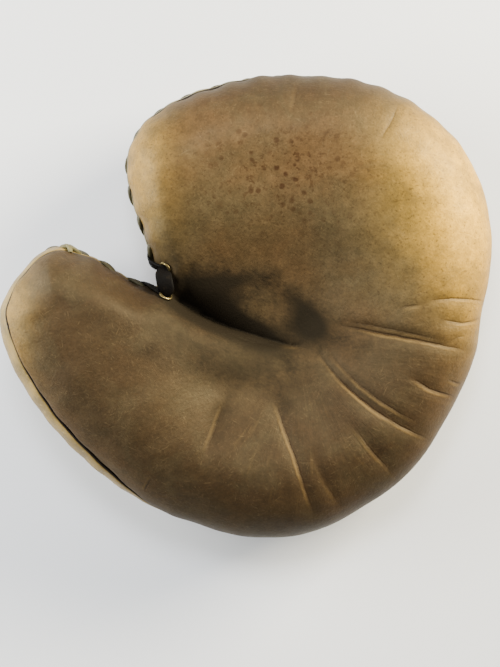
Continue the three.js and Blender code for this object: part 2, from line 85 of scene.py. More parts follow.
# Cross-sections of the rim at some outline rows. Heights: the widest line, the crest and the back.
# Insets from the outline: the crest and the foot of the back. Degrees in front of the widest line:
# the seam where the palm leather ends, and the lacing where the side band meets the back.
SECTIONS = table("at wide crest_in crest seam lace back_in back", [
    (0.0, 40, 14, 62, 12, -12, 16, 0),
    (1.0, 43, 24, 74, 12, -6, 24, 0),
    (2.2, 46, 36, 82, 12, -5, 38, 0),
    (4.0, 48, 46, 86, 13, -8, 44, 0),
    (6.0, 47, 48, 85, 19, -8, 44, 0),
    (8.0, 44, 48, 82, 15, -10, 44, 0),
    (10.0, 42, 50, 81, 9, -12, 44, 0),
    (12.0, 40, 54, 79, 2, -16, 42, 0),
    (15.0, 40, 58, 79, -12, -30, 40, 0),
    (18.2, 40, 56, 78, -14, -34, 32, 0),
    (19.2, 40, 54, 77, -44, -52, 30, 16),
    (20.8, 40, 54, 77, -44, -52, 30, 16),
    (21.8, 41, 54, 78, -14, -34, 32, 0),
    (23.2, 44, 52, 81, 6, -16, 38, 0),
    (24.4, 48, 48, 85, 31, -16, 42, 0),
    (26.0, 54, 40, 91, 42, -16, 42, 0),
    (27.0, 57, 35, 94, 46, -15, 41, 0),
    (28.0, 58, 32, 96, 40, -14, 40, 0),
    (28.5, 58, 32, 96, 33, -12, 39, 0),
    (29.0, 57, 32, 96, 33, -8, 38, 0),
    (30.0, 53, 36, 88, 14, -7, 36, 0),
    (31.0, 46, 30, 77, 12, -7, 26, 0),
    (32.0, 40, 14, 62, 12, -12, 16, 0),
])

# Heights of the palm face inside its rolled edge. The face is their mean, weighted by nearness.
HEIGHTS = table("x y z", [
    (-45, 75, 86), (-25, 105, 85), (15, 112, 82), (60, 108, 81), (95, 85, 80),  # finger side
    (115, 45, 79), (112, 5, 78), (100, -35, 77), (80, -70, 77),
    (45, -98, 78), (5, -102, 80), (-40, -88, 84),  # heel
    (-78, -62, 90), (-108, -32, 96), (-118, 2, 98),  # thumb
    (-92, -4, 96), (-66, -14, 92), (-46, -38, 90),
    (-42, 40, 78), (-12, 64, 78), (30, 70, 77), (70, 50, 75),  # slopes round the pocket
    (78, 5, 73), (66, -32, 72), (38, -62, 72), (-4, -66, 74),
    (-22, 30, 66), (22, 34, 66), (50, 14, 64), (14, -44, 62), (-24, -36, 68),
    (46, -20, 58), (20, 2, 54), (-10, 2, 56), (22, -22, 51), (-6, -18, 55),  # pocket
    (-30, 6, 68), (-44, 8, 72), (-34, -22, 80), (-14, -30, 68),  # fold
])
HEIGHT_REACH = 19      # how far each height spreads
FACE_FROM = 1.2        # inset at which the face has these heights, as a share of the crest's

# Middle line of the pad, from the middle of the thumb to the pocket. Every section ends on it.
MIDLINE = table("share x y", [
    (0.00, -113.8, -2.5),
    (0.33, -82.5, -18.8),
    (0.66, -42.5, -35.0),
    (1.00, 25.0, -23.1),
])
THUMB_TIP_FROM = 27   # outline row where the thumb's lower edge meets the tip
THUMB_TIP_TO = 29     # outline row where the tip meets the thumb's upper edge
THUMB_EDGE_ROWS = 3   # outline rows from the tip to the pocket end, on either edge
LEAVE = 0.26          # share of its length over which a section runs square to the outline
ARRIVE = 1 / 3        # and over which it arrives square to the middle line, away from these ends
SLANTED = {"thumb": 0.2, "pocket": 0.35}

# The deep fold between the thumb and the finger side: the points that pull its line, and its depth
FOLD_LINE = table("x y", [
    (-55, 15),
    (-36, -7),
    (-8, -16),
    (48, -28),
])
FOLD = table("along depth", [
    (0.00, 12),
    (0.12, 23),
    (0.35, 25),
    (0.60, 15),
    (0.82, 5),
    (1.00, 0),
])
FOLD_REACH = {"finger": 12, "thumb": 5}  # how far each flank of the fold spreads

# Creases of the leather: three points on each, its depth, the width of its soft valley, and how
# much of a sharp line runs along its bottom, which also sets the painted shade and highlight there
CREASES = table("x0 y0 x1 y1 x2 y2 depth width line", [
    (56, -11, 92, -18, 132, -26, 2.3, 4.5, 0.9),
    (62, -9, 90, -14, 116, -20, 0.5, 2.0, 0.4),
    (109, 4, 129, 5.5, 147, 4, 1.1, 3.0, 0.8),
    (92, 0, 98, 1, 104, 1, 0.5, 2.5, 0.5),
    (117, -7, 128, -9, 144, -6, 1.0, 3.0, 0.8),
    (120, -22, 126, -18.5, 131, -17, 0.5, 2.5, 0.5),
    (97, -42, 112, -50.5, 127, -55, 1.4, 3.5, 0.8),
    (121, -44, 126, -46, 131, -47, 0.6, 2.5, 0.5),
    (43, -29, 69, -57, 109, -80, 2.8, 5.0, 1.0),
    (49, -28, 73, -52, 103, -70, 0.7, 2.2, 0.5),
    (62, -72, 77, -90, 91, -105, 1.6, 5.0, 0.35),
    (38, -90, 45, -105, 54, -120, 1.4, 4.0, 0.3),
    (15, -57, 26, -87, 38, -124, 2.6, 5.0, 0.75),
    (-15, -57, -21, -73, -27, -89, 3.2, 6.0, 0.4),
    (-59, -104, -62, -108, -64, -112, 0.7, 3.0, 0.4),
    (-31, -47, -5, -50, 16, -56, 1.2, 8.0, 0.0),
    (-14, -14, -3, -20, 8, -23, 1.5, 2.2, 0.7),
    (-6, -15.6, 4, -21, 16, -24.4, 1.2, 1.8, 0.6),
    (6, -17.5, 17.5, -22, 31, -23, 1.2, 2.0, 0.6),
    (91, 124, 84, 110, 75, 95, 0.5, 3.0, 0.30),
    (30, 137, 27, 125, 26, 112, 0.35, 3.5, 0.12),
    (4, 130, 6, 121, 9, 113, 0.25, 3.5, 0.06),
])
CREASE_END = 0.12    # a crease's depth at its ends, as a share of a half sine
CREASE_LINE = 0.34   # share of its depth in that line, where the line is full
CREASE_LINE_WIDTH = 0.9
CREASE_SHADE = 1.6   # how far the painted shade beside that line reaches
CREASE_REACH = 3     # how many widths of its valley away a crease ends

# Where each piece starts and ends along the outline rows
SPANS = {"finger": (1 / 3, 18), "thumb": (22, 31.8)}
LACED = {"finger": (0.6, 17.7), "thumb": (22.3, 31.3)}


def mix(a, b, share):
    return a + (b - a) * share


def ease(value):
    held = np.clip(value, 0, 1)
    return held * held * (3 - 2 * held)


def steps(start, end, count):
    """Shares from start to end, both ends among them."""
    return np.linspace(start, end, count + 1)


def unit(vectors):
    """Vectors in the same directions, each of length 1."""
    return vectors / np.linalg.norm(vectors, axis=-1, keepdims=True)


def cubic(u, a, b, c, d):
    """Points of a smooth curve from a to d, pulled by b and c, at shares of its way."""
    rest = 1 - u
    return rest**3 * a + 3 * rest**2 * u * b + 3 * rest * u**2 * c + u**3 * d


def raised(plan, height):
    """Plan points at these heights."""
    return np.concatenate([plan, height[..., None]], -1)


def oval(point, x, y, along, across, turn):
    """0 in the middle of a turned oval, 1 on its edge and more outside it, at plan points."""
    angle = math.radians(turn)
    dx, dy = point[..., 0] - x, point[..., 1] - y
    ahead = (dx * math.cos(angle) + dy * math.sin(angle)) / along
    aside = (dy * math.cos(angle) - dx * math.sin(angle)) / across
    return ahead**2 + aside**2


def column(rows, key, name, at):
    """Value of a column at a key, by a cubic through the rows that never overshoots them."""
    x, y = rows[key], rows[name]
    slope = np.diff(y) / np.diff(x)
    before, after = slope[:-1], slope[1:]
    same = before * after > 0
    tangent = np.zeros(len(x))
    tangent[1:-1][same] = 2 * before[same] * after[same] / (before[same] + after[same])
    at = np.clip(at, x[0], x[-1])
    i = np.clip(np.searchsorted(x, at, side="right") - 1, 0, len(x) - 2)
    span = x[i + 1] - x[i]
    u = (at - x[i]) / span
    rise = y[i + 1] - y[i]
    bend = (tangent[i] * (1 - u) - tangent[i + 1] * u) * span - rise * (1 - 2 * u)
    return y[i] + rise * u + u * (1 - u) * bend


def outline_point(t):
    """Smooth closed curve through the outline rows."""
    i = np.floor(t).astype(int)
    u = t - i
    point = []
    for name in ("x", "y"):
        a, b, c, d = (OUTLINE[name][(i + k) % ROWS] for k in (-1, 0, 1, 2))
        point.append(b + 0.5 * u * (c - a + u * (2 * a - 5 * b + 4 * c - d + u * (3 * (b - c) + d - a))))
    return np.stack(point, -1)


def outline_inward(t):
    step = 0.02
    ahead = unit(outline_point(t + step) - outline_point(t - step))
    return np.stack([ahead[..., 1], -ahead[..., 0]], -1)


# Length of the outline from row 0 to any row, and the row at any such length
TRAVEL_STEPS = 50    # steps from one outline row to the next
TRAVEL_ROWS = steps(0, ROWS, ROWS * TRAVEL_STEPS)
TRAVEL = np.concatenate(
    [[0], np.cumsum(np.linalg.norm(np.diff(outline_point(TRAVEL_ROWS), axis=0), axis=1))])


def travel_at(t):
    return np.interp(t, TRAVEL_ROWS, TRAVEL)


def row_at(travel):
    return np.interp(travel, TRAVEL, TRAVEL_ROWS)


def sections(t):
    """The cross-sections at outline rows: their paths in plan, and their heights as columns."""
    t = np.mod(np.asarray(t, float), ROWS)
    past_tip = np.where(t > THUMB_TIP_TO, t - THUMB_TIP_TO, THUMB_TIP_FROM - t)
    in_tip = (t >= THUMB_TIP_FROM) & (t <= THUMB_TIP_TO)
    share = np.where(in_tip, 0, np.clip(past_tip / THUMB_EDGE_ROWS, 0, 1)).round(SHARE_DIGITS)
    start = outline_point(t)
    end = midline_point(share)
    length = np.linalg.norm(end - start, axis=-1, keepdims=True)
    s = SimpleNamespace(t=t, start=start, end=end, length=length)
    for name in SECTIONS:
        setattr(s, name, column(SECTIONS, "at", name, t)[:, None])
    s.leave = start + outline_inward(t) * length * LEAVE
    step = 0.01
    ahead = midline_point(share + step) - midline_point(share - step)
    square = unit(np.stack([-ahead[:, 1], ahead[:, 0]], -1))
    square *= np.sign(np.sum(square * (start - end), axis=-1, keepdims=True))
    level = (ease(share / SLANTED["thumb"]) * ease((1 - share) / SLANTED["pocket"]))[:, None]
    s.arrive = end + mix(start - end, square * length, level) * ARRIVE
    return s


def midline_point(share):
    return np.stack([column(MIDLINE, "share", name, share) for name in ("x", "y")], -1)


def plan_point(s, way):
    """Plan points at shares of the way from the outline to the middle line."""
    way = np.broadcast_to(way, (len(s.t), np.shape(way)[-1]))[..., None]
    return cubic(way, s.start[:, None], s.leave[:, None], s.arrive[:, None], s.end[:, None])


def nearest_on(path, point):
    """Distance from points to a path, how far along it that is, and on which side."""
    best = np.full(len(point), np.inf)
    along = np.zeros(len(point))
    side = np.zeros(len(point))
    parts = len(path) - 1
    for i in range(parts):
        edge = path[i + 1] - path[i]
        offset = point - path[i]
        way = np.clip(offset @ edge / (edge @ edge), 0, 1)
        offset = offset - way[:, None] * edge
        distance = np.hypot(offset[:, 0], offset[:, 1])
        closer = distance < best
        best[closer] = distance[closer]
        along[closer] = ((i + way) / parts)[closer]
        side[closer] = (edge[0] * offset[:, 1] - edge[1] * offset[:, 0])[closer]
    return best, along, side


def fold_path(count=32):
    return cubic(steps(0, 1, count)[:, None], *np.stack([FOLD_LINE["x"], FOLD_LINE["y"]], -1))


def fold_at(point):
    """How deep the fold is at plan points: the thumb's flank is steeper than the fingers'."""
    distance, along, side = nearest_on(fold_path(), point)
    reach = np.where(side > 0, FOLD_REACH["finger"], FOLD_REACH["thumb"])
    return column(FOLD, "along", "depth", along) * np.exp(-distance / reach)


def face_height(point):
    """Height of the palm face at plan points, without its rolled edge, fold and creases."""
    total = np.zeros(len(point))
    weight = np.full(len(point), TINY)
    for x, y, z in zip(HEIGHTS["x"], HEIGHTS["y"], HEIGHTS["z"]):
        near = np.exp(-((point[:, 0] - x) ** 2 + (point[:, 1] - y) ** 2) / (2 * HEIGHT_REACH**2))
        total += near * z
        weight += near
    return total / weight


def crease_path(i, count=20):
    """A smooth curve through the three points of a crease."""
    a, b, c = (np.array([CREASES[f"x{k}"][i], CREASES[f"y{k}"][i]]) for k in range(3))
    control = 2 * b - (a + c) / 2
    u = steps(0, 1, count)[:, None]
    return (1 - u) ** 2 * a + 2 * u * (1 - u) * control + u**2 * c


def creases_at(point):
    """How deep the creases are at plan points, and how near the point is to a crease's line."""
    depth = np.zeros(len(point))
    line = np.zeros(len(point))
    for i, full in enumerate(CREASES["depth"]):
        path = crease_path(i)
        width, drawn = CREASES["width"][i], CREASES["line"][i]
        margin = CREASE_REACH * width
        near = np.all((point > path.min(0) - margin) & (point < path.max(0) + margin), axis=1)
        distance, along, _ = nearest_on(path, point[near])
        taper = np.sin(np.pi * mix(CREASE_END, 1 - CREASE_END, along))
        sharp = np.exp(-distance / CREASE_LINE_WIDTH)
        soft = np.exp(-((distance / width) ** 2))
        depth[near] += full * taper * mix(soft, sharp, CREASE_LINE * drawn)
        shown = taper * np.exp(-((distance / CREASE_SHADE) ** 2)) * drawn
        line[near] = np.maximum(line[near], shown)
    return depth, line


def palm_point(s, inset):
    """Points of the palm face at insets from the outline."""
    way = inset / s.length
    plan = plan_point(s, way)
    flat = plan.reshape(-1, 2)
    reach = np.minimum(s.length, s.crest_in * FACE_FROM)
    face = mix(s.crest, face_height(flat).reshape(way.shape), ease(inset / reach))
    rolled = np.sqrt(1 - (1 - np.clip(inset / s.crest_in, 0, 1)) ** 2)
    dents = (fold_at(flat) + creases_at(flat)[0]).reshape(way.shape) * ease(inset / DENTS_FROM)
    return raised(plan, s.wide + (face - s.wide) * rolled - dents)


def rim_point(s, degrees, depth):
    """Points of the rim at angles in front of the widest line, set in from the outer skin."""
    angle = np.radians(degrees)
    across = np.where(angle > 0, s.crest_in, s.back_in)
    up = np.where(angle > 0, s.crest - s.wide, s.wide - s.back)
    normal = np.stack([np.cos(angle) / across, np.sin(angle) / up])
    normal /= np.linalg.norm(normal, axis=0)
    inset = across * (1 - np.cos(angle)) + depth * normal[0]
    height = s.wide + up * np.sin(angle) - depth * normal[1]
    return raised(plan_point(s, inset / s.length), height)


def grid_normals(points, closed):
    """Directions out of a grid of points, pointing away from the mitt's inside."""
    if closed:
        around = np.roll(points, -1, 0) - np.roll(points, 1, 0)
    else:
        around = np.gradient(points, axis=0)
    across = np.gradient(points, axis=1)
    normal = np.cross(around, across)
    length = np.linalg.norm(normal, axis=-1, keepdims=True)
    return normal / np.maximum(length, TINY)


WAVE_SPREAD = (0.7, 1.6)  # shortest and longest wave of a ripple, as shares of its wavelength


def ripple(points, wavelength, seed, waves=16):
    """Smooth, repeatable unevenness, mostly between -1 and 1."""
    rng = np.random.default_rng(seed)
    aim = unit(rng.normal(size=(waves, 3)))
    pitch = 2 * np.pi / (wavelength * rng.uniform(*WAVE_SPREAD, waves))
    phase = rng.uniform(0, 2 * np.pi, waves)
    total = np.zeros(points.shape[:-1])
    for k in range(waves):
        total += np.sin(points @ aim[k] * pitch[k] + phase[k])
    return total / math.sqrt(waves)


def grid_faces(count, across, closed=False, rings=False):
    """Quads between the neighbouring loops of a grid, whose loops may be rings."""
    loop = np.arange(count if closed else count - 1)[:, None]
    here, there = loop * across, (loop + 1) % count * across
    k = np.arange(across if rings else across - 1)
    onward = (k + 1) % across
    return np.stack([here + k, here + onward, there + onward, there + k], -1).reshape(-1, 4)


def welded(points, faces):
    """One vertex for each place. Quads that lose a corner become triangles."""
    same = points.round(WELD_DIGITS)
    _, first, index = np.unique(same, axis=0, return_index=True, return_inverse=True)
    faces = index.reshape(-1)[faces]
    repeats = faces == np.roll(faces, 1, axis=1)
    whole = faces[~repeats.any(axis=1)]
    short = faces[repeats.sum(axis=1) == 1]
    triangles = [[v for k, v in enumerate(face) if v != face[k - 1]] for face in short.tolist()]
    return first, whole.tolist() + triangles


def piece(name, points, faces, material, slot, weld=False, **attributes):
    """A part of the mitt from points in millimetres. It rides on the mitt's one body."""
    points = np.asarray(points, float).reshape(-1, 3)
    if weld:
        keep, faces = welded(points, np.asarray(faces))
    else:
        keep = np.arange(len(points))
        faces = [list(face) for face in faces]
    mesh = bpy.data.meshes.new(name)
    mesh.from_pydata(((points[keep] - CENTRE) * MM).tolist(), [], faces)
    for key, values in attributes.items():
        layer = mesh.attributes.new(key, "FLOAT", "POINT")
        layer.data.foreach_set("value", np.asarray(values, float).reshape(-1)[keep])
    mesh.polygons.foreach_set("use_smooth", [True] * len(mesh.polygons))
    mesh.materials.append(material)
    mesh.validate()
    mesh.update()
    made = placed(name, mesh)
    facing_out(made)
    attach(made, "root")
    return made


def placed(name, data):
    """An object in the scene with this mesh, light or camera."""
    made = bpy.data.objects.new(name, data)
    bpy.context.scene.collection.objects.link(made)
    return made


def facing_out(made):
    """Turns every face round if the closed mesh is inside out."""
    mesh = made.data
    mesh.calc_loop_triangles()
    corner = np.empty(len(mesh.loop_triangles) * 3, int)
    mesh.loop_triangles.foreach_get("vertices", corner)
    place = np.empty(len(mesh.vertices) * 3)
    mesh.vertices.foreach_get("co", place)
    a, b, c = place.reshape(-1, 3)[corner.reshape(-1, 3)].transpose(1, 0, 2)
    if np.einsum("ij,ij->", a, np.cross(b, c)) < 0:
        mesh.flip_normals()


# Materials

# Noise patterns: the size of their patches in millimetres, their detail, roughness and bend, the
# values of the noise between which they rise, and what they rise from and to
PATTERNS = named_rows("size detail rough bent low high start end", {
    "reddish": (70, 3, 0.5, 0, 0.35, 0.65, 0, 1),  # palm leather
    "olive": (28, 5, 0.6, 0.6, 0.42, 0.72, 0, 0.40),
    "mottle": (6, 6, 0.7, 0, 0.3, 0.75, 0.76, 1.16),
    "fine_mottle": (1.3, 4, 0.7, 0, 0.3, 0.7, 0.86, 1.14),
    "pores": (1.6, 2, 0.5, 0, 0.58, 0.72, 0, 0.5),
    "scratch": (0.8, 2, 0.5, 0.4, 0.62, 0.72, 0, 1),
    "scratched": (9, 2, 0.55, 0, 0.46, 0.64, 0, 1),
    "dotted": (9, 3, 0.55, 0, 0.42, 0.52, 0, 1),
    "blots": (4.2, 4, 0.6, 0, 0.56, 0.64, 0, 0.7),
    "crease_breaks": (8, 3, 0.55, 0, 0.32, 0.56, 0.25, 1),
    "smoke": (13, 6, 0.7, 0.9, 0.30, 0.68, 0.60, 1.22),
    "wiped": (4, 5, 0.7, 1.4, 0.34, 0.66, 0.76, 1.16),
    "palm_rough": (9, 5, 0.6, 0, 0.3, 0.7, 0.44, 0.56),
    "lighter": (12, 5, 0.6, 0, 0.3, 0.7, 0, 1),    # other leathers
    "worn": (4, 6, 0.7, 0.5, 0.55, 0.72, 0, 0.5),
    "fine_pores": (1.2, 2, 0.5, 0, 0.6, 0.8, 0, 0.4),
    "rougher": (6, 4, 0.6, 0, 0.3, 0.7, -0.08, 0.08),
    "tarnish": (3, 5, 0.6, 0, 0.4, 0.7, 0, 1),     # brass and floor
    "floor_patches": (400, 3, 0.5, 0, 0.3, 0.7, 0, 1),
})

# Relief in the shaders: its height in millimetres and its strength
BUMPS = {
    "palm_grain": (0.16, 0.6),
    "palm_wrinkles": (0.40, 0.45),
    "gathers": (0.8, 0.5),
    "crease_lines": (0.6, 0.7),
    "grain": (0.15, 0.6),
    "wrinkles": (0.4, 0.4),
    "brass": (0.05, 0.4),
}
# The noise of that relief: its size in millimetres, detail, roughness and bend
RELIEF_NOISE = {"palm": (5, 5, 0.65, 1.2), "plain": (3.5, 5, 0.65, 0.8), "brass": (0.8, 3, 0.6)}
MIX_A, MIX_B, MIX_RESULT = 6, 7, 2  # the colour sockets of a Mix node


class Finish:
    """A node material. The methods that make nodes return the output of the last one."""

    def __init__(self, name):
        self.material = bpy.data.materials.new(name)
        self.material.use_nodes = True
        self.tree = self.material.node_tree
        self.shader = self.tree.nodes["Principled BSDF"]
        self.place = self.tree.nodes.new("ShaderNodeTexCoord").outputs["Object"]

    def join(self, socket, value):
        if isinstance(value, bpy.types.NodeSocket):
            self.tree.links.new(value, socket)
        else:
            socket.default_value = value

    def node(self, kind, inputs, output, **settings):
        made = self.tree.nodes.new(kind)
        for key, value in settings.items():
            setattr(made, key, value)
        for key, value in inputs.items():
            self.join(made.inputs[key], value)
        return made.outputs[output]

    def stretched(self, length, turn):
        """The place on the object, drawn out this many times along one direction in plan."""
        return self.node("ShaderNodeMapping", {
            "Vector": self.place, "Scale": (1.0, length, 1.0),
            "Rotation": (0, 0, math.radians(turn))}, "Vector", vector_type="TEXTURE")

    def noise(self, size, detail, rough, bent=0.0, at=None, output="Fac"):
        """Noise whose patches are about this many millimetres across."""
        return self.node("ShaderNodeTexNoise", {
            "Vector": at or self.place, "Scale": 1 / (size * MM), "Detail": detail,
            "Roughness": rough, "Distortion": bent}, output)

    def cells(self, size, feature="F1"):
        return self.node("ShaderNodeTexVoronoi", {
            "Vector": self.place, "Scale": 1 / (size * MM)}, "Distance", feature=feature)

    def ramp(self, value, low, high, to_low=0.0, to_high=1.0):
        return self.node("ShaderNodeMapRange", {
            "Value": value, "From Min": low, "From Max": high, "To Min": to_low,
            "To Max": to_high}, "Result", interpolation_type="SMOOTHSTEP")

    def pattern(self, name, at=None, larger=0):
        """A noise pattern from the table. Its patches may be larger by some millimetres."""
        p = PATTERNS[name]
        noise = self.noise(p["size"] + larger, p["detail"], p["rough"], p["bent"], at)
        return self.ramp(noise, p["low"], p["high"], p["start"], p["end"])

    def math(self, operation, a, b):
        return self.node("ShaderNodeMath", {0: a, 1: b}, 0, operation=operation)

    def times(self, a, b):
        return self.math("MULTIPLY", a, b)

    def vector(self, operation, inputs, output=0):
        return self.node("ShaderNodeVectorMath", inputs, output, operation=operation)

    def blend(self, share, a, b, how="MIX"):
        return self.node("ShaderNodeMix", {0: share, MIX_A: a, MIX_B: b}, MIX_RESULT,
                         data_type="RGBA", blend_type=how)

    def attribute(self, name):
        return self.node("ShaderNodeAttribute", {}, "Fac", attribute_name=name)

    def bump(self, name, height, before=None):
        """Relief of a kind from the table, on top of what came before."""
        distance, strength = BUMPS[name]
        inputs = {"Height": height, "Distance": distance * MM, "Strength": strength}
        if before is not None:
            inputs["Normal"] = before
        return self.node("ShaderNodeBump", inputs, "Normal")

    def finished(self, **sockets):
        for name, value in sockets.items():
            self.join(self.shader.inputs[name.replace("_", " ")], value)
        return self.material


SCREEN_WHITE = 255
SCREEN_GAMMA = 2.2


def shade(*colour):
    """A colour given as it looks on a screen, red, green and blue from 0 to 255, for a shader."""
    return tuple((c / SCREEN_WHITE) ** SCREEN_GAMMA for c in colour) + (1.0,)


# How a crease is drawn: the half widths of its dark line of painted shade and of its pale lip of
# painted highlight, how far apart they lie, and how far they wander to either side over what length
CREASE_DRAWN = {"groove_shade": 0.9, "lip_highlight": 1.5, "apart": 1.7, "wander": 2.2, "wander_over": 11}


def crease_lines(f):
    """The dark line of painted shade and the pale lip of painted highlight along each crease, both from 0
    to 1.
    """
    wander = f.noise(CREASE_DRAWN["wander_over"], 3, 0.5, output="Color")
    wander = f.vector("SUBTRACT", {0: wander, 1: (0.5, 0.5, 0.5)})
    wander = f.vector("SCALE", {0: wander, "Scale": CREASE_DRAWN["wander"] * MM})
    place = f.vector("ADD", {0: f.place, 1: wander})
    groove_shade, lip_highlight = 0.0, 0.0
    for i, drawn in enumerate(CREASES["line"].tolist()):
        if drawn == 0:
            continue
        a, b, c = (np.array([CREASES[f"x{k}"][i], CREASES[f"y{k}"][i]]) - CENTRE[:2] for k in range(3))
        half = np.linalg.norm(c - a) / 2
        ahead = (c - a) / (2 * half)
        bow = ahead[0] * (b - a)[1] - ahead[1] * (b - a)[0]
        at = f.node("ShaderNodeMapping", {
            "Vector": place, "Location": (*((a + c) / 2 * MM), 0),
            "Rotation": (0, 0, math.atan2(ahead[1], ahead[0])),
            "Scale": (half * MM, MM, MM)}, "Vector", vector_type="TEXTURE")
        along = f.node("ShaderNodeSeparateXYZ", {0: at}, "X")
        across = f.node("ShaderNodeSeparateXYZ", {0: at}, "Y")
        window = f.math("MAXIMUM", f.math("SUBTRACT", 1.0, f.times(along, along)), 0.0)
        offset = f.math("SUBTRACT", across, f.times(window, float(bow)))
        shown = f.times(f.times(window, drawn), f.pattern("crease_breaks", larger=i))
        near = f.ramp(f.math("ABSOLUTE", offset, 0.0), 0, CREASE_DRAWN["groove_shade"], 1, 0)
        beside = f.math("ABSOLUTE", f.math("ADD", offset, CREASE_DRAWN["apart"]), 0.0)
        near_lip = f.ramp(beside, 0, CREASE_DRAWN["lip_highlight"], 1, 0)
        groove_shade = f.math("MAXIMUM", groove_shade, f.times(near, shown))
        lip_highlight = f.math("MAXIMUM", lip_highlight, f.times(near_lip, shown))
    return groove_shade, lip_highlight


# The fine wrinkles of the heel: the point that they run towards, how many patches of noise lie
# round it, how long each patch is, and the noise's roughness and bend
GATHERS = {"x": 30.0, "y": -28.0, "round": 95.0, "length": 22, "rough": 0.6, "bent": 0.5}


def gather_noise(f):
    """Noise drawn out towards the pocket, as the fine wrinkles of the heel are."""
    centre = [(GATHERS["x"] - CENTRE[0]) * MM, (GATHERS["y"] - CENTRE[1]) * MM, 0]
    at = f.vector("SUBTRACT", {0: f.place, 1: centre})
    angle = f.node("ShaderNodeTexGradient", {"Vector": at}, "Fac", gradient_type="RADIAL")
    reach = f.vector("LENGTH", {0: at}, "Value")
    spun = f.node("ShaderNodeCombineXYZ", {
        0: f.times(angle, GATHERS["round"]), 1: f.times(reach, 1 / (GATHERS["length"] * MM))}, 0)
    return f.noise(1 / MM, 4, GATHERS["rough"], GATHERS["bent"], spun)


# Fine scratches: their directions in plan, how many times longer than wide they are, and by how
# many degrees their directions differ where the patches that hold them are 1 mm larger
SCRATCHES = {"turns": (10, 38, 64, 95, 122, 157), "longer": 9.0, "degrees": 30}


def scratches(f):
    """Fine short scratches in many directions."""
    total = 0.0
    for turn in SCRATCHES["turns"]:
        scratch = f.pattern("scratch", f.stretched(SCRATCHES["longer"], turn))
        patch = f.pattern("scratched", larger=turn / SCRATCHES["degrees"])
        total = f.math("MAXIMUM", total, f.times(scratch, patch))
    return total


# Coats of colour on the palm leather, in their order: how strongly each covers, and its colour
PALM_GREENISH = (68, 58, 41)
PALM_COATS = {
    "reddish": (1, (74, 57, 38)),
    # painted highlight along the lit edges, with rubbed wear
    "rubbed_and_highlight": (1, (182, 140, 46)),
    # darkening by oil, with painted shade on the heel, thumb and top edge
    "oiled_and_shaded": (1, (44, 34, 24)),
    "olive": (1, (58, 52, 38)),
    "pores": (1, (46, 34, 22)),
    "scratches": (0.12, (124, 106, 76)),
    "specks": (0.9, (42, 26, 16)),
    "gathers": (0.07, (118, 96, 62)),
    # painted highlight on the lit lip of each crease
    "lip_highlight": (0.25, (158, 128, 78)),
    # painted shade in the crease lines and beside them
    "groove_shade": (0.75, (36, 24, 15)),
    "crease": (0.40, (40, 27, 17)),
    # grime of the stains, with painted shade in the fold and the seam
    "grime_and_shade": (1, (17, 13, 10)),
}
DOTS = {"pitch": 6.5, "full": 0.18, "none": 0.36}  # dark dots, and how far from their middles they end
GATHERS_SHOW = (0.56, 0.72)                # the noise between which the fine wrinkles come to show
WIPES = {"longer": 3.0, "turn": 64}        # streaks in the dirt
THICK_DIRT_AND_SHADE = 0.60                          # dirt and painted shade above this hide the streaks
ROUGHENED = {"oiled_and_shaded": 0.62, "dirt": 0.78}  # roughness under the coats of oil and painted shade, and of dirt and painted shade
ROUGHENS = (0.1, 0.9)                      # the share of those coats between which it does so
GRAIN = 1.7                                # size of the cells of the grain
LIP_RISE = 0.5                             # height of a crease's lip as a share of its line's depth
PALM_SHINE = {"Specular_IOR_Level": 0.20, "Specular_Tint": (1.0, 0.84, 0.54, 1.0)}


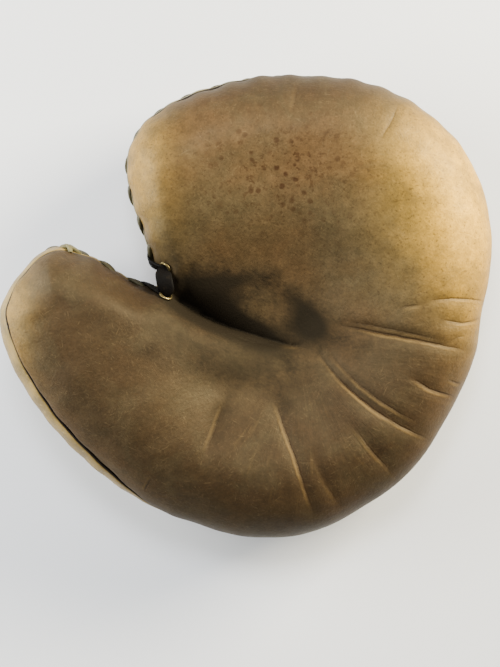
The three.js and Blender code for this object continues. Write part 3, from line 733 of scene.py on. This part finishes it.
def palm_leather():
    """Oiled tan leather: olive and orange patches, dark pores, fine scratches and a dirty pocket, with
    painted shade and highlights on its heel, thumb, edges, fold and creases.
    """
    f = Finish("palm_leather")
    colour = shade(*PALM_GREENISH)

    def coat(name, where):
        strength, tint = PALM_COATS[name]
        return f.blend(f.times(where, strength), colour, shade(*tint))

    colour = coat("reddish", f.pattern("reddish"))
    # painted highlight along the lit edges, with rubbed wear
    colour = coat("rubbed_and_highlight", f.attribute("rubbed_and_highlight"))
    # darkening by oil, with painted shade on the heel, thumb and top edge
    colour = coat("oiled_and_shaded", f.attribute("oiled_and_shaded"))
    colour = coat("olive", f.pattern("olive"))
    mottle = f.times(f.pattern("mottle"), f.pattern("fine_mottle"))
    grey = f.node("ShaderNodeCombineColor", {0: mottle, 1: mottle, 2: mottle}, "Color")
    colour = f.blend(1.0, colour, grey, "MULTIPLY")
    colour = coat("pores", f.pattern("pores"))
    colour = coat("scratches", scratches(f))
    dots = f.ramp(f.cells(DOTS["pitch"]), DOTS["full"], DOTS["none"], 1, 0)
    specks = f.math("MAXIMUM", f.times(dots, f.pattern("dotted")), f.pattern("blots"))
    colour = coat("specks", f.times(specks, f.attribute("specks")))
    gathers = gather_noise(f)
    drawn = f.ramp(gathers, *GATHERS_SHOW)
    colour = coat("gathers", f.times(drawn, f.attribute("gathered")))
    groove_shade, lip_highlight = crease_lines(f)
    # painted highlight on the crease lips, and painted shade in their lines
    colour = coat("lip_highlight", lip_highlight)
    colour = coat("groove_shade", groove_shade)
    colour = coat("crease", f.attribute("crease"))
    # grime of the stains, with painted shade in the fold and the seam
    smoke = f.times(f.pattern("smoke"), f.pattern("wiped", f.stretched(WIPES["longer"], WIPES["turn"])))
    smoke = f.ramp(f.attribute("dirt"), THICK_DIRT_AND_SHADE, 1.0, smoke, 1.0)
    colour = coat("grime_and_shade", f.math("MINIMUM", f.times(f.attribute("dirt"), smoke), 1.0))
    rough = f.pattern("palm_rough")
    for name, rougher in ROUGHENED.items():
        rough = f.ramp(f.attribute(name), *ROUGHENS, rough, rougher)
    normal = f.bump("palm_grain", f.cells(GRAIN, "SMOOTH_F1"))
    normal = f.bump("palm_wrinkles", f.noise(*RELIEF_NOISE["palm"]), normal)
    normal = f.bump("gathers", f.times(gathers, f.attribute("gathered")), normal)
    normal = f.bump("crease_lines", f.math("SUBTRACT", f.times(lip_highlight, LIP_RISE), groove_shade), normal)
    return f.finished(Base_Color=colour, Roughness=rough, Normal=normal, **PALM_SHINE)


# colour of the painted shade and dirt in the groove along a band's seam
BAND_SHADE_AND_DIRT = (24, 18, 14)
BRASS = {"bright": (118, 105, 72), "tarnished": (42, 36, 25), "roughness": (0.38, 0.65)}
FLOOR = {"darker": (202, 205, 211), "lighter": (207, 209, 215), "roughness": 0.75, "half": 6.0}


def plain_leather(name, dark, light, wear, roughness, grain, shine):
    """Leather of one colour that is worn paler in patches."""
    f = Finish(name)
    colour = f.blend(f.pattern("lighter"), shade(*dark), shade(*light))
    colour = f.blend(f.pattern("worn"), colour, shade(*wear))
    colour = f.blend(f.pattern("fine_pores"), colour, shade(*dark))
    # painted shade and dirt along the band's seam
    colour = f.blend(f.attribute("dirt"), colour, shade(*BAND_SHADE_AND_DIRT))
    rough = f.math("ADD", f.pattern("rougher"), roughness)
    normal = f.bump("grain", f.cells(grain, "SMOOTH_F1"))
    normal = f.bump("wrinkles", f.noise(*RELIEF_NOISE["plain"]), normal)
    return f.finished(Base_Color=colour, Roughness=rough, Normal=normal, Specular_IOR_Level=shine)


def aged_brass():
    f = Finish("brass")
    tarnish = f.pattern("tarnish")
    colour = f.blend(tarnish, shade(*BRASS["bright"]), shade(*BRASS["tarnished"]))
    rough = f.ramp(tarnish, 0, 1, *BRASS["roughness"])
    normal = f.bump("brass", f.noise(*RELIEF_NOISE["brass"]))
    return f.finished(Base_Color=colour, Roughness=rough, Normal=normal, Metallic=1.0)


def floor_paint():
    f = Finish("floor_paint")
    colour = f.blend(f.pattern("floor_patches"), shade(*FLOOR["darker"]), shade(*FLOOR["lighter"]))
    return f.finished(Base_Color=colour, Roughness=FLOOR["roughness"])


# Leathers of one colour: their dark, light and worn shades, their grain's size in millimetres, and
# how much they shine
PLAIN_LEATHERS = named_rows("dark light wear roughness grain shine", {
    "finger_band": ((72, 68, 48), (104, 94, 64), (136, 120, 82), 0.5, 1.3, 0.24),
    "thumb_band": ((88, 73, 38), (118, 98, 54), (152, 130, 80), 0.5, 1.3, 0.24),
    "back": ((74, 54, 30), (96, 71, 40), (120, 92, 54), 0.6, 1.3, 0.24),
    "lace": ((42, 39, 27), (64, 60, 42), (96, 89, 65), 0.55, 0.9, 0.18),
    "knot": ((68, 64, 43), (96, 90, 62), (124, 116, 85), 0.5, 0.9, 0.24),
    "web": ((8, 6, 5), (15, 12, 9), (34, 29, 21), 0.68, 0.9, 0.06),
})
MATERIALS = {name: plain_leather(f"{name}_leather", **row) for name, row in PLAIN_LEATHERS.items()}
MATERIALS |= {"palm": palm_leather(), "brass": aged_brass(), "floor": floor_paint()}

# Stains of the palm: where they are, how far they reach along and across, their turn and strength
STAINS = table("x y along across turn strength", [
    (-20, -8, 44, 8, -26, 0.80),
    (-22, 12, 44, 20, -16, 0.45),
    (12, -10, 40, 24, -8, 0.34),
    (20, 30, 66, 30, 8, 0.24),
    (54, -14, 34, 14, -10, 0.36),
    (-10, 17, 28, 5, 6, 0.30),
    (26, 8, 14, 6, -40, 0.30),
    (38, -10, 13, 18, 12, 0.50),
    (6, -2, 13, 6, -8, -0.36),
    (12, -40, 34, 15, -16, 0.62),     # below the fold
    (-24, -36, 30, 12, -24, 0.50),
    (64, -26, 20, 12, -12, 0.26),
    (-50, -14, 28, 9, -28, 0.32),
    (20, -60, 7, 9, 20, 0.34),
    (-18, -66, 18, 6, 66, 0.42),
    (-60, -27, 7, 6, 0, 0.36),
])

# Where the leather is darkened by oil and handling, with painted shade on the heel, thumb and top
# edge, and where it is rubbed lighter, with painted highlight along its lit edges
OILED_AND_SHADED = table("x y along across turn strength", [
    (0, -108, 110, 42, 0, 0.85),
    (16, -78, 60, 26, 0, 0.65),
    (-88, -40, 52, 46, -35, 0.85),
    (-88, 20, 44, 24, -25, 0.95),
    (-32, -28, 44, 20, -25, 0.60),
    (96, -56, 44, 34, 55, 0.70),
    (52, -58, 46, 28, -35, 0.60),
    (108, -14, 34, 34, 0, 0.45),
    (-46, 84, 12, 44, 0, 0.30),
    (-120, -12, 16, 40, 0, 0.35),
    (-70, -6, 34, 12, -20, 0.45),
    (24, 138, 96, 26, 0, 0.95),
    (20, 30, 60, 40, 0, 0.10),
])
GATHERED = table("x y along across turn strength", [
    (40, -84, 74, 44, 20, 0.9),
    (108, -20, 40, 50, 0, 0.6),
    (-30, -70, 60, 36, -30, 0.5),
])
# rubbed wear, with painted highlight where the lamps catch the edges
RUBBED_AND_HIGHLIGHT = table("x y along across turn strength", [
    (128, 70, 34, 60, 15, 1.0),
    (132, 4, 20, 34, 0, 0.25),
    (-68, 90, 20, 50, 0, 0.35),
    (-146, 8, 16, 50, 10, 0.35),
])

# The upper middle of the palm, where the leather is speckled
SPECKLED = {"x": 18.0, "y": 84.0, "along": 50.0, "across": 34.0, "turn": 0}


def clouds(point, rows):
    """Sum of soft oval clouds at plan points."""
    total = np.zeros(len(point))
    for *place, strength in zip(*rows.values()):
        total += strength * np.exp(-oval(point, *place))
    return total


# Lacing: pitch of the stitches round the rim, and the thong
LACE = {"pitch": 19.5, "run": 13.0, "reach": 5.0, "width": 4.8, "thickness": 2.4, "lift": 0.5, "dip": 2.6}
LACE_SHIFT = {"finger": 0.0, "thumb": -5.0}  # where the stitches begin, along the outline
LACE_OVER = table("at share", [  # how far the stitches lie over towards the palm leather's seam
    (0.6, 0.8),
    (2.6, 0.7),
    (4.2, 0.0),
    (29.7, 0.0),
    (30.2, 0.9),
    (31.3, 0.9),
])
PUCKER = 1.3          # how far the leather stands out between two stitches where it is drawn most
PUCKERS = table("at share", [
    (0.4, 0.0),
    (1.0, 0.8),
    (4.0, 0.6),
    (7.0, 1.0),
    (10.0, 0.8),
    (13.0, 0.0),
    (22.5, 0.0),
    (24.5, 0.5),
    (27.0, 0.3),
    (29.5, 0.6),
    (31.0, 1.0),
    (31.7, 0.0),
])
SEAM_EDGE = table("arc depth", [  # how the leather turns in at a cut edge
    (1.9, 0.0),
    (1.1, 0.14),
    (0.5, 0.5),
    (0.12, 1.1),
    (0.0, 2.2),
])
SEAM_GROOVE = 0.5     # width of the dark groove between the palm leather and a side band
SEAM_SHADE_AND_DIRT = 1.0       # how far the painted shade and dirt of that groove reach over a band's edge
STATIONS_PER_ROW = 20
SAME_ROW = 1e-6       # a station closer than this to the end of a span is that end
RIM_ROUND = 0.75      # radius of the rim as a share of the height of its widest line
RIM_LEAST = 20        # and at least


def stations(span=(0, ROWS)):
    """Outline rows at which sections are taken, inside a span."""
    every = np.arange(ROWS * STATIONS_PER_ROW) / STATIONS_PER_ROW
    if span == (0, ROWS):
        return every
    inside = every[(every > span[0] + SAME_ROW) & (every < span[1] - SAME_ROW)]
    return np.concatenate([[span[0]], inside, [span[1]]])


def puckers(t):
    """How far the rim's leather stands out between the stitches and in at them, at rows."""
    shift = np.where(t > SPANS["thumb"][0], LACE_SHIFT["thumb"], LACE_SHIFT["finger"])
    phase = 2 * np.pi * (travel_at(t) - shift) / LACE["pitch"]
    return -0.5 * np.cos(phase) * column(PUCKERS, "at", "share", t) * PUCKER


def degrees_for(s, arc):
    """The angle on the rim that spans a length of skin near the widest line."""
    return np.degrees(arc / np.maximum(s.wide * RIM_ROUND, RIM_LEAST))


# The pad's loops: those of its face, its rolled edge, the step for the bands, the roll under it, and
# its back face
FACE_PARTS = 62
ROLL_PARTS = 24
STEP_PARTS = 2
UNDER_PARTS = 3
RISE_PARTS = 5
FACE_BUNCH = 0.9      # below 1, the loops of the face lie closer together towards its middle
RELIEF = table("height wavelength seed", [
    (0.36, 55, 3),
    (0.20, 21, 4),
])
RELIEF_UP = {"from": 20, "over": 30}  # insets at which the relief turns from the skin's normal to up
PUCKER_REACH = 9      # inset at which the puckers fade
PUCKER_DEGREES = 16   # and how far behind the lacing they do
FOLD_SHADE_AND_DIRT = 0.05      # painted shade and dirt for each millimetre of the fold's depth


def pad_loops(s):
    """All loops of the pad, and the insets of those that show on its palm side."""
    inset = mix(s.crest_in, s.length, steps(1, 0, FACE_PARTS) ** FACE_BUNCH)
    face = palm_point(s, inset)
    turned_in = degrees_for(s, SEAM_EDGE["arc"])
    angles = mix(QUARTER, s.seam + turned_in[:, :1], steps(0, 1, ROLL_PARTS)[1:])
    roll_inset = s.crest_in * (1 - np.cos(np.radians(angles)))
    roll = np.where(angles[..., None] > 0, palm_point(s, roll_inset), rim_point(s, angles, 0))
    edge = rim_point(s, s.seam + turned_in[:, 1:], SEAM_EDGE["depth"][1:])
    depth = LEATHER + GAP
    step = rim_point(s, mix(s.seam, s.lace, steps(0, 1, STEP_PARTS)), depth)
    under = rim_point(s, mix(s.lace, -ROLL_UNDER, steps(0, 1, UNDER_PARTS)[1:]), depth)
    foot = s.back_in * (1 - math.cos(math.radians(ROLL_UNDER))) + depth
    rise = steps(0, 1, RISE_PARTS)[1:]
    ceiling = raised(plan_point(s, (foot + CAVITY_RISE * rise) / s.length),
                     mix(under[:, -1:, 2], CAVITY_CEILING, ease(rise)))
    middle = raised(s.end, np.full(len(s.t), CAVITY_CEILING))[:, None]
    shown = np.concatenate([inset, roll_inset, np.zeros(edge.shape[:2])], 1)
    return np.concatenate([face, roll, edge, step, under, ceiling, middle], 1), shown


def uneven(t, skin, inset):
    """The palm side's loops with their soft relief, and the puckers at the stitches."""
    normal = grid_normals(skin, True)
    normal *= np.sign(normal[..., 2].mean())
    aim = mix(normal, [0, 0, 1], ease((inset - RELIEF_UP["from"]) / RELIEF_UP["over"])[..., None])
    relief = sum(height * ripple(skin, wavelength, int(seed))
                 for height, wavelength, seed in zip(*RELIEF.values()))
    relief = relief + np.exp(-((inset / PUCKER_REACH) ** 2)) * puckers(t)[:, None]
    return skin + aim * relief[..., None]


def pad_looks(points, shown):
    """Where the palm leather is creased, dirty, oiled, rubbed, speckled and gathered, and where shade and
    highlights are painted on it.
    """
    plan = points.reshape(-1, 3)[:, :2]
    loop = np.tile(np.arange(points.shape[1]), len(points))
    on_face = loop < shown
    at_seam = loop > FACE_PARTS + ROLL_PARTS
    # stains, with painted shade and dirt deepening along the fold
    dirt = np.clip(clouds(plan, STAINS) + FOLD_SHADE_AND_DIRT * fold_at(plan), 0, 1) * on_face
    return {
        # painted shade beside each crease's sharp line
        "crease": creases_at(plan)[1] * on_face,
        # painted shade and dirt also in the seam groove and under the bands
        "dirt": np.maximum(dirt, at_seam),
        "oiled_and_shaded": np.clip(clouds(plan, OILED_AND_SHADED), 0, 1),
        "rubbed_and_highlight": np.clip(clouds(plan, RUBBED_AND_HIGHLIGHT), 0, 1),
        "specks": np.exp(-oval(plan, **SPECKLED)) * on_face,
        "gathered": np.clip(clouds(plan, GATHERED), 0, 1) * on_face,
    }


def pad_piece():
    """The stuffed palm: its face, the roll of its edge, the step for the bands, and its back."""
    t = stations()
    points, inset = pad_loops(sections(t))
    shown = inset.shape[1]
    points[:, :shown] = uneven(t, points[:, :shown], inset)
    faces = grid_faces(len(t), points.shape[1], closed=True)
    pad = piece("pad", points, faces, MATERIALS["palm"], "palm_leather", weld=True,
                **pad_looks(points, shown))
    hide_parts("palm_pad")


def shell_faces(count, across):
    """Faces of a wall: loops run out over the outer skin and back over the inner skin."""
    k = np.arange(across // 2 - 1)
    cap = np.stack([k, across - 1 - k, across - 2 - k, k + 1], -1)
    far_cap = cap[:, ::-1] + (count - 1) * across
    return np.concatenate([grid_faces(count, across, rings=True), cap, far_cap])


BAND_PARTS = 10
BACK_PARTS = {"roll": 22, "flat": 14}


def band_piece(side):
    """A side band: a strip of leather round the rim, turned in at both edges."""
    t = stations(SPANS[side])
    s = sections(t)
    arc, depth = SEAM_EDGE["arc"], np.minimum(SEAM_EDGE["depth"], LEATHER)
    top = s.seam - degrees_for(s, SEAM_GROOVE) - degrees_for(s, arc[::-1])
    bottom = s.lace + degrees_for(s, arc)
    middle = mix(top[:, -1:], bottom[:, :1], steps(0, 1, BAND_PARTS)[1:-1])
    angles = np.concatenate([top, middle, bottom], 1)
    depths = np.concatenate([depth[::-1], np.zeros(middle.shape[1]), depth])
    count = angles.shape[1]
    out = puckers(t)[:, None] * np.sin(np.linspace(0, np.pi, count))
    outer = rim_point(s, angles, depths - out)
    inner = rim_point(s, angles[:, ::-1], LEATHER)
    points = np.concatenate([outer, inner], 1)
    # painted shade and dirt in the groove at the band's top edge
    at_seam = np.concatenate([arc[::-1], np.full(2 * count - len(arc), np.inf)]) < SEAM_SHADE_AND_DIRT
    band = piece(f"{side}_band_skin", points, shell_faces(len(t), 2 * count),
                 MATERIALS[f"{side}_band"], f"{side}_band_leather", weld=True,
                 dirt=np.broadcast_to(at_seam, points.shape[:2]))
    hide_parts(f"{side}_band")


HAND_OPENING = {"x": 46, "y": -56, "along": 66, "across": 44, "turn": 119}
OPENING_STEPS = 800   # steps along each section in the search for its edge


def outside_opening(s):
    """Share of each section that lies outside the hand opening."""
    way = steps(0, 1, OPENING_STEPS)
    inside = oval(plan_point(s, way[None]), **HAND_OPENING) < 1
    return np.where(inside.any(1), way[inside.argmax(1)], 1)[:, None]


def back_piece(side):
    """A back panel: from the lacing round the rim to the flat back, as far as the hand opening."""
    t = stations(SPANS[side])
    s = sections(t)
    ends = outside_opening(s)
    clear = degrees_for(s, GAP)
    arc, depth = SEAM_EDGE["arc"], np.minimum(SEAM_EDGE["depth"], LEATHER)
    top = s.lace - clear - degrees_for(s, arc[::-1])
    rest = mix(top[:, -1:], -QUARTER, steps(0, 1, BACK_PARTS["roll"])[1:])
    angles = np.concatenate([top, rest], 1)
    depths = np.concatenate([depth[::-1], np.zeros(rest.shape[1])])
    out = puckers(t)[:, None] * np.exp(-(((angles - s.lace) / PUCKER_DEGREES) ** 2))
    plan = plan_point(s, mix(s.back_in / s.length, ends, steps(0, 1, BACK_PARTS["flat"])[1:]))

    def flat(height):
        return raised(plan, np.broadcast_to(height, plan.shape[:2]))

    outer = np.concatenate([rim_point(s, angles, depths - out), flat(s.back)], 1)
    inner = np.concatenate([rim_point(s, angles, LEATHER), flat(s.back + LEATHER)], 1)
    points = np.concatenate([outer, inner[:, ::-1]], 1)
    panel = piece(f"{side}_back_skin", points, shell_faces(len(t), points.shape[1]),
                  MATERIALS["back"], "back_leather", weld=True)
    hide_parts(f"{side}_back")


THONG_SIDES = 12
THONG_SQUARE = 0.5    # shape of a thong's cross-section, from an oval at 1 to a rectangle at 0


def thong(path, out, width, thickness):
    """A flat leather thong with rounded edges along a path. out points away from what it lies on."""
    ahead = unit(np.gradient(path, axis=0))
    side = unit(np.cross(ahead, out))
    rise = np.cross(side, ahead)
    turn = np.linspace(0, 2 * np.pi, THONG_SIDES, endpoint=False)
    x, y = (np.sign(way) * np.abs(way) ** THONG_SQUARE / 2 for way in (np.cos(turn), np.sin(turn)))
    width = np.broadcast_to(width, len(path))[:, None, None]
    loops = path[:, None] + side[:, None] * x[None, :, None] * width
    loops = loops + rise[:, None] * y[None, :, None] * thickness
    start = list(range(THONG_SIDES))
    end = [k + (len(path) - 1) * THONG_SIDES for k in start]
    faces = grid_faces(len(path), THONG_SIDES, rings=True).tolist() + [start[::-1], end]
    return loops.reshape(-1, 3), faces


def joined(parts):
    """Points and faces of several bodies as one list each."""
    points, faces, start = [], [], 0
    for body_points, body_faces in parts:
        points.append(body_points)
        faces += [[v + start for v in face] for face in body_faces]
        start += len(body_points)
    return np.concatenate(points), faces


STITCH_PARTS = 14
STITCH_VARIES = {"run": (0.92, 1.06), "reach": (0.9, 1.1), "width": (0.9, 1.08)}
STITCH_RISE = 0.45                   # the lower, the sooner a stitch rises to its full height
STITCH_ENDS = 0.72                   # its width at the ends, as a share of its full width
LACE_SEED = {"finger": 11, "thumb": 12}


def stitch(centre, rng):
    """One whip stitch over the joint of band and back: up from the back, across, and into the band."""

    def varied(name):
        return LACE[name] * rng.uniform(*STITCH_VARIES[name])

    u = steps(0, 1, STITCH_PARTS)
    hump = np.sin(np.pi * u)
    t = row_at(np.mod(centre + (u - 0.5) * varied("run"), TRAVEL[-1]))
    s = sections(t)
    swing = (u - 0.5) * 2 * varied("reach")
    over = column(LACE_OVER, "at", "share", t)[:, None]
    angle = mix(s.lace, s.seam, over) + degrees_for(s, 1.0) * swing[:, None]
    depth = -mix(-LACE["dip"], LACE["lift"], hump**STITCH_RISE)[:, None]
    middle = rim_point(s, angle, depth)[:, 0]
    out = middle - rim_point(s, angle, depth + 1)[:, 0]
    width = varied("width") * mix(STITCH_ENDS, 1, np.sqrt(hump))
    return thong(middle, out, width, LACE["thickness"])


def lacing_piece(side):
    """All whip stitches of one side."""
    rng = np.random.default_rng(LACE_SEED[side])
    pitch, shift = LACE["pitch"], LACE_SHIFT[side]
    first, last = (travel_at(np.array(t)) - shift for t in LACED[side])
    centres = np.arange(math.ceil(first / pitch), last / pitch) * pitch + shift
    points, faces = joined([stitch(centre, rng) for centre in centres])
    lacing = piece(f"{side}_lacing", points, faces, MATERIALS["lace"], "lace_leather")
    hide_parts(f"{side}_lace")


# Eyelets on either side of the fold by the notch, and the strap that ties them together
EYELETS = {"finger": (0.62, 8.0), "thumb": (31.86, 11.0)}  # outline row and inset
EYELET_PROFILE = table("radius height", [
    (2.5, -0.4),
    (2.55, 0.5),
    (2.9, 1.15),
    (3.5, 1.4),
    (4.1, 1.1),
    (4.4, 0.5),
    (4.3, 0.15),
    (3.4, -0.2),
])


EYELET_SIDES = 40
ASKEW = (0.3, 1.0, 0.2)  # a direction that no eyelet or button faces


def seat(row, inset):
    """A place on the palm, and the direction out of the leather there."""
    row_step, inset_step = 0.05, 0.5

    def at(t, i):
        return palm_point(sections([t]), np.array([[i]]))[0, 0]

    along = at(row + row_step, inset) - at(row - row_step, inset)
    inward = at(row, inset + inset_step) - at(row, inset - inset_step)
    out = unit(np.cross(inward, along))
    return at(row, inset), out * np.sign(out[2])


def turned(profile, place, out, sides):
    """A ring with this profile of radii and heights about a direction."""
    first = unit(np.cross(out, ASKEW))
    second = np.cross(out, first)
    turn = np.linspace(0, 2 * np.pi, sides, endpoint=False)[:, None, None]
    radius = profile["radius"][None, :, None]
    height = profile["height"][None, :, None]
    points = place + radius * (np.cos(turn) * first + np.sin(turn) * second) + height * out
    faces = grid_faces(sides, len(profile["radius"]), closed=True, rings=True)
    return points.reshape(-1, 3), faces.tolist()


def eyelet_piece(side):
    points, faces = turned(EYELET_PROFILE, *seat(*EYELETS[side]), EYELET_SIDES)
    ring = piece(f"{side}_eyelet_ring", points, faces, MATERIALS["brass"], "brass")
    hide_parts(f"eyelet_{side}")


WEB = {"end": 4.2, "width": 10.2, "widen": 1.3, "rise": 7.0, "thickness": 2.2, "parts": 26}

# Where the laces lie that end on the palm: outline rows, insets, lift off the leather and widths
FINGER_END = table("row inset lift width", [
    (1.45, 0.2, -0.8, 3.6),
    (1.25, 0.2, 1.4, 4.6),
    (1.02, 0.6, 2.0, 5.4),
    (0.82, 3.0, 1.8, 5.0),
    (0.68, 6.0, 1.2, 4.4),
    (0.62, 8.0, -0.6, 3.8),
])
THUMB_END = table("row inset lift width", [
    (31.10, 0.2, -0.8, 3.2),
    (31.25, 0.5, 1.0, 3.8),
    (31.45, 2.0, 1.4, 4.2),
    (31.65, 5.0, 1.4, 4.6),
    (31.80, 8.5, 1.2, 4.8),
    (31.86, 11.0, -0.6, 4.0),
])
KNOT_ALONG = table("row inset lift width", [
    (29.36, 0.6, -0.8, 2.6),
    (29.44, 0.9, 1.0, 4.4),
    (29.55, 1.1, 1.8, 5.0),
    (29.67, 0.9, 1.0, 4.4),
    (29.80, 0.6, -0.6, 2.6),
])
KNOT_ACROSS = table("row inset lift width", [
    (29.44, 0.5, 0.2, 2.4),
    (29.49, 1.0, 2.0, 3.4),
    (29.56, 2.0, 2.1, 3.4),
    (29.62, 3.2, 0.2, 2.4),
])


LACE_END = {"parts": 22, "thickness": 1.8}
KNOT_THICKNESS = {"along": 2.6, "across": 2.0}


def lace_on_palm(rows, thickness):
    """A lace that runs over the palm's edge, through the places in a table."""
    seats = [seat(row, inset) for row, inset in zip(rows["row"], rows["inset"])]
    places = np.array([place + out * lift for (place, out), lift in zip(seats, rows["lift"])])
    outs = np.array([out for _, out in seats])
    knots = np.arange(len(places))
    at = steps(0, len(places) - 1, LACE_END["parts"])
    curve = np.stack([column({"k": knots, "v": values}, "k", "v", at) for values in places.T], -1)
    out = np.stack([np.interp(at, knots, values) for values in outs.T], -1)
    return thong(curve, out, np.interp(at, knots, rows["width"]), thickness)


def web_piece():
    """The dark strap between the eyelets, and the two laces that end under it."""
    (start, start_out), (end, end_out) = seat(*EYELETS["finger"]), seat(*EYELETS["thumb"])
    u = steps(0, 1, WEB["parts"])[:, None]
    path = cubic(u, start - start_out, start + start_out * WEB["rise"],
                 end + end_out * WEB["rise"], end - end_out)
    out = np.cross(np.gradient(path, axis=0), [1, 0, 0])
    out *= np.sign(out[:, 2:])
    width = mix(WEB["end"], WEB["width"], ease(np.sin(np.pi * u[:, 0]) * WEB["widen"]))
    laces = [lace_on_palm(rows, LACE_END["thickness"]) for rows in (FINGER_END, THUMB_END)]
    points, faces = joined([thong(path, out, width, WEB["thickness"]), *laces])
    strap = piece("web_thong", points, faces, MATERIALS["web"], "web_leather")
    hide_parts("web_strap")


def knot_piece():
    """The pale knot where the thumb's lacing is tied, at the top of the thumb."""
    points, faces = joined([lace_on_palm(KNOT_ALONG, KNOT_THICKNESS["along"]),
                            lace_on_palm(KNOT_ACROSS, KNOT_THICKNESS["across"])])
    piece("thumb_knot", points, faces, MATERIALS["knot"], "lace_leather")


STRAP = {"width": 24.0, "thickness": 2.6, "from": (15, -108, 0), "to": (96, -50, 0), "parts": 30}
BUTTON = {"height": 1.7, "along": 0.32, "sides": 48}
BUTTON_PROFILE = table("radius height", [
    (0.0, 0.0),
    (5.6, 0.05),
    (6.6, 0.35),
    (7.5, 0.15),
    (8.0, 0.7),
    (7.6, 1.6),
    (0.0, 1.7),
])


def strap_pieces():
    """The wrist strap across the hand opening, and its button."""
    start, end = np.array(STRAP["from"]), np.array(STRAP["to"])
    level = LEATHER + GAP + STRAP["thickness"] / 2
    path = mix(start, end, steps(0, 1, STRAP["parts"])[:, None]) + [0, 0, level]
    points, faces = thong(path, [0, 0, 1], STRAP["width"], STRAP["thickness"])
    strap = piece("wrist_strap_skin", points, faces, MATERIALS["back"], "back_leather")
    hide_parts("wrist_strap")

    place = mix(start, end, BUTTON["along"]) + [0, 0, LEATHER]
    points, faces = turned(BUTTON_PROFILE, place, np.array([0, 0, -1]), BUTTON["sides"])
    points[:, 2] = np.clip(points[:, 2], LEATHER - BUTTON["height"], LEATHER)
    button = piece("strap_button_cap", points, faces, MATERIALS["brass"], "brass", weld=True)
    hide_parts("strap_button")


pad_piece()
for part in ("finger", "thumb"):
    band_piece(part)
    back_piece(part)
    lacing_piece(part)
    eyelet_piece(part)
web_piece()
knot_piece()
strap_pieces()


# The floor, the lights and the camera, in metres

LIGHTS = named_rows("place aim size power colour", {
    "left_box": ((-0.98, 0.18, 0.40), (0, 0, 0.05), (0.9, 0.75), 50, (1.0, 1.0, 0.93)),
    "right_box": ((0.90, 0.56, 0.50), (0, 0.05, 0.05), (0.6, 0.5), 82, (1.0, 0.91, 0.68)),
    "top_box": ((-0.1, 0.80, 1.70), (0, 0, 0), (0.5, 0.5), 32, (0.95, 0.97, 1.0)),
})
ROOM = {"Color": (0.95, 0.97, 1.0, 1.0), "Strength": 0.18}
LENS = 85.0
SENSOR = 36.0
VIEW_HEIGHT = 0.417      # what the picture spans from top to bottom at the mitt's widest line
VIEW_MIDDLE = (0.003, -0.0176)
WIDEST_LINE = 0.045


def floor():
    mesh = bpy.data.meshes.new("floor")
    half = FLOOR["half"]
    mesh.from_pydata([(-half, -half, 0), (half, -half, 0), (half, half, 0), (-half, half, 0)], [],
                     [(0, 1, 2, 3)])
    mesh.materials.append(MATERIALS["floor"])
    placed("floor", mesh)


def area_light(name, place, aim, size, power, colour):
    light = bpy.data.lights.new(name, "AREA")
    light.shape = "RECTANGLE"
    light.size, light.size_y = size
    light.energy = power
    light.color = colour
    made = placed(name, light)
    made.location = place
    made.rotation_euler = (Vector(aim) - Vector(place)).to_track_quat("-Z", "Y").to_euler()


def room_light():
    world = bpy.data.worlds.new("room")
    world.use_nodes = True
    for name, value in ROOM.items():
        world.node_tree.nodes["Background"].inputs[name].default_value = value
    bpy.context.scene.world = world


def camera():
    """Looks straight down on the palm, from above the middle of the picture."""
    data = bpy.data.cameras.new("camera")
    data.lens = LENS
    data.sensor_width = SENSOR
    made = placed("camera", data)
    made.location = (*VIEW_MIDDLE, WIDEST_LINE + VIEW_HEIGHT / 2 / (SENSOR / 2 / LENS))
    bpy.context.scene.camera = made


floor()
for light_name, light_row in LIGHTS.items():
    area_light(light_name, **light_row)
room_light()
camera()
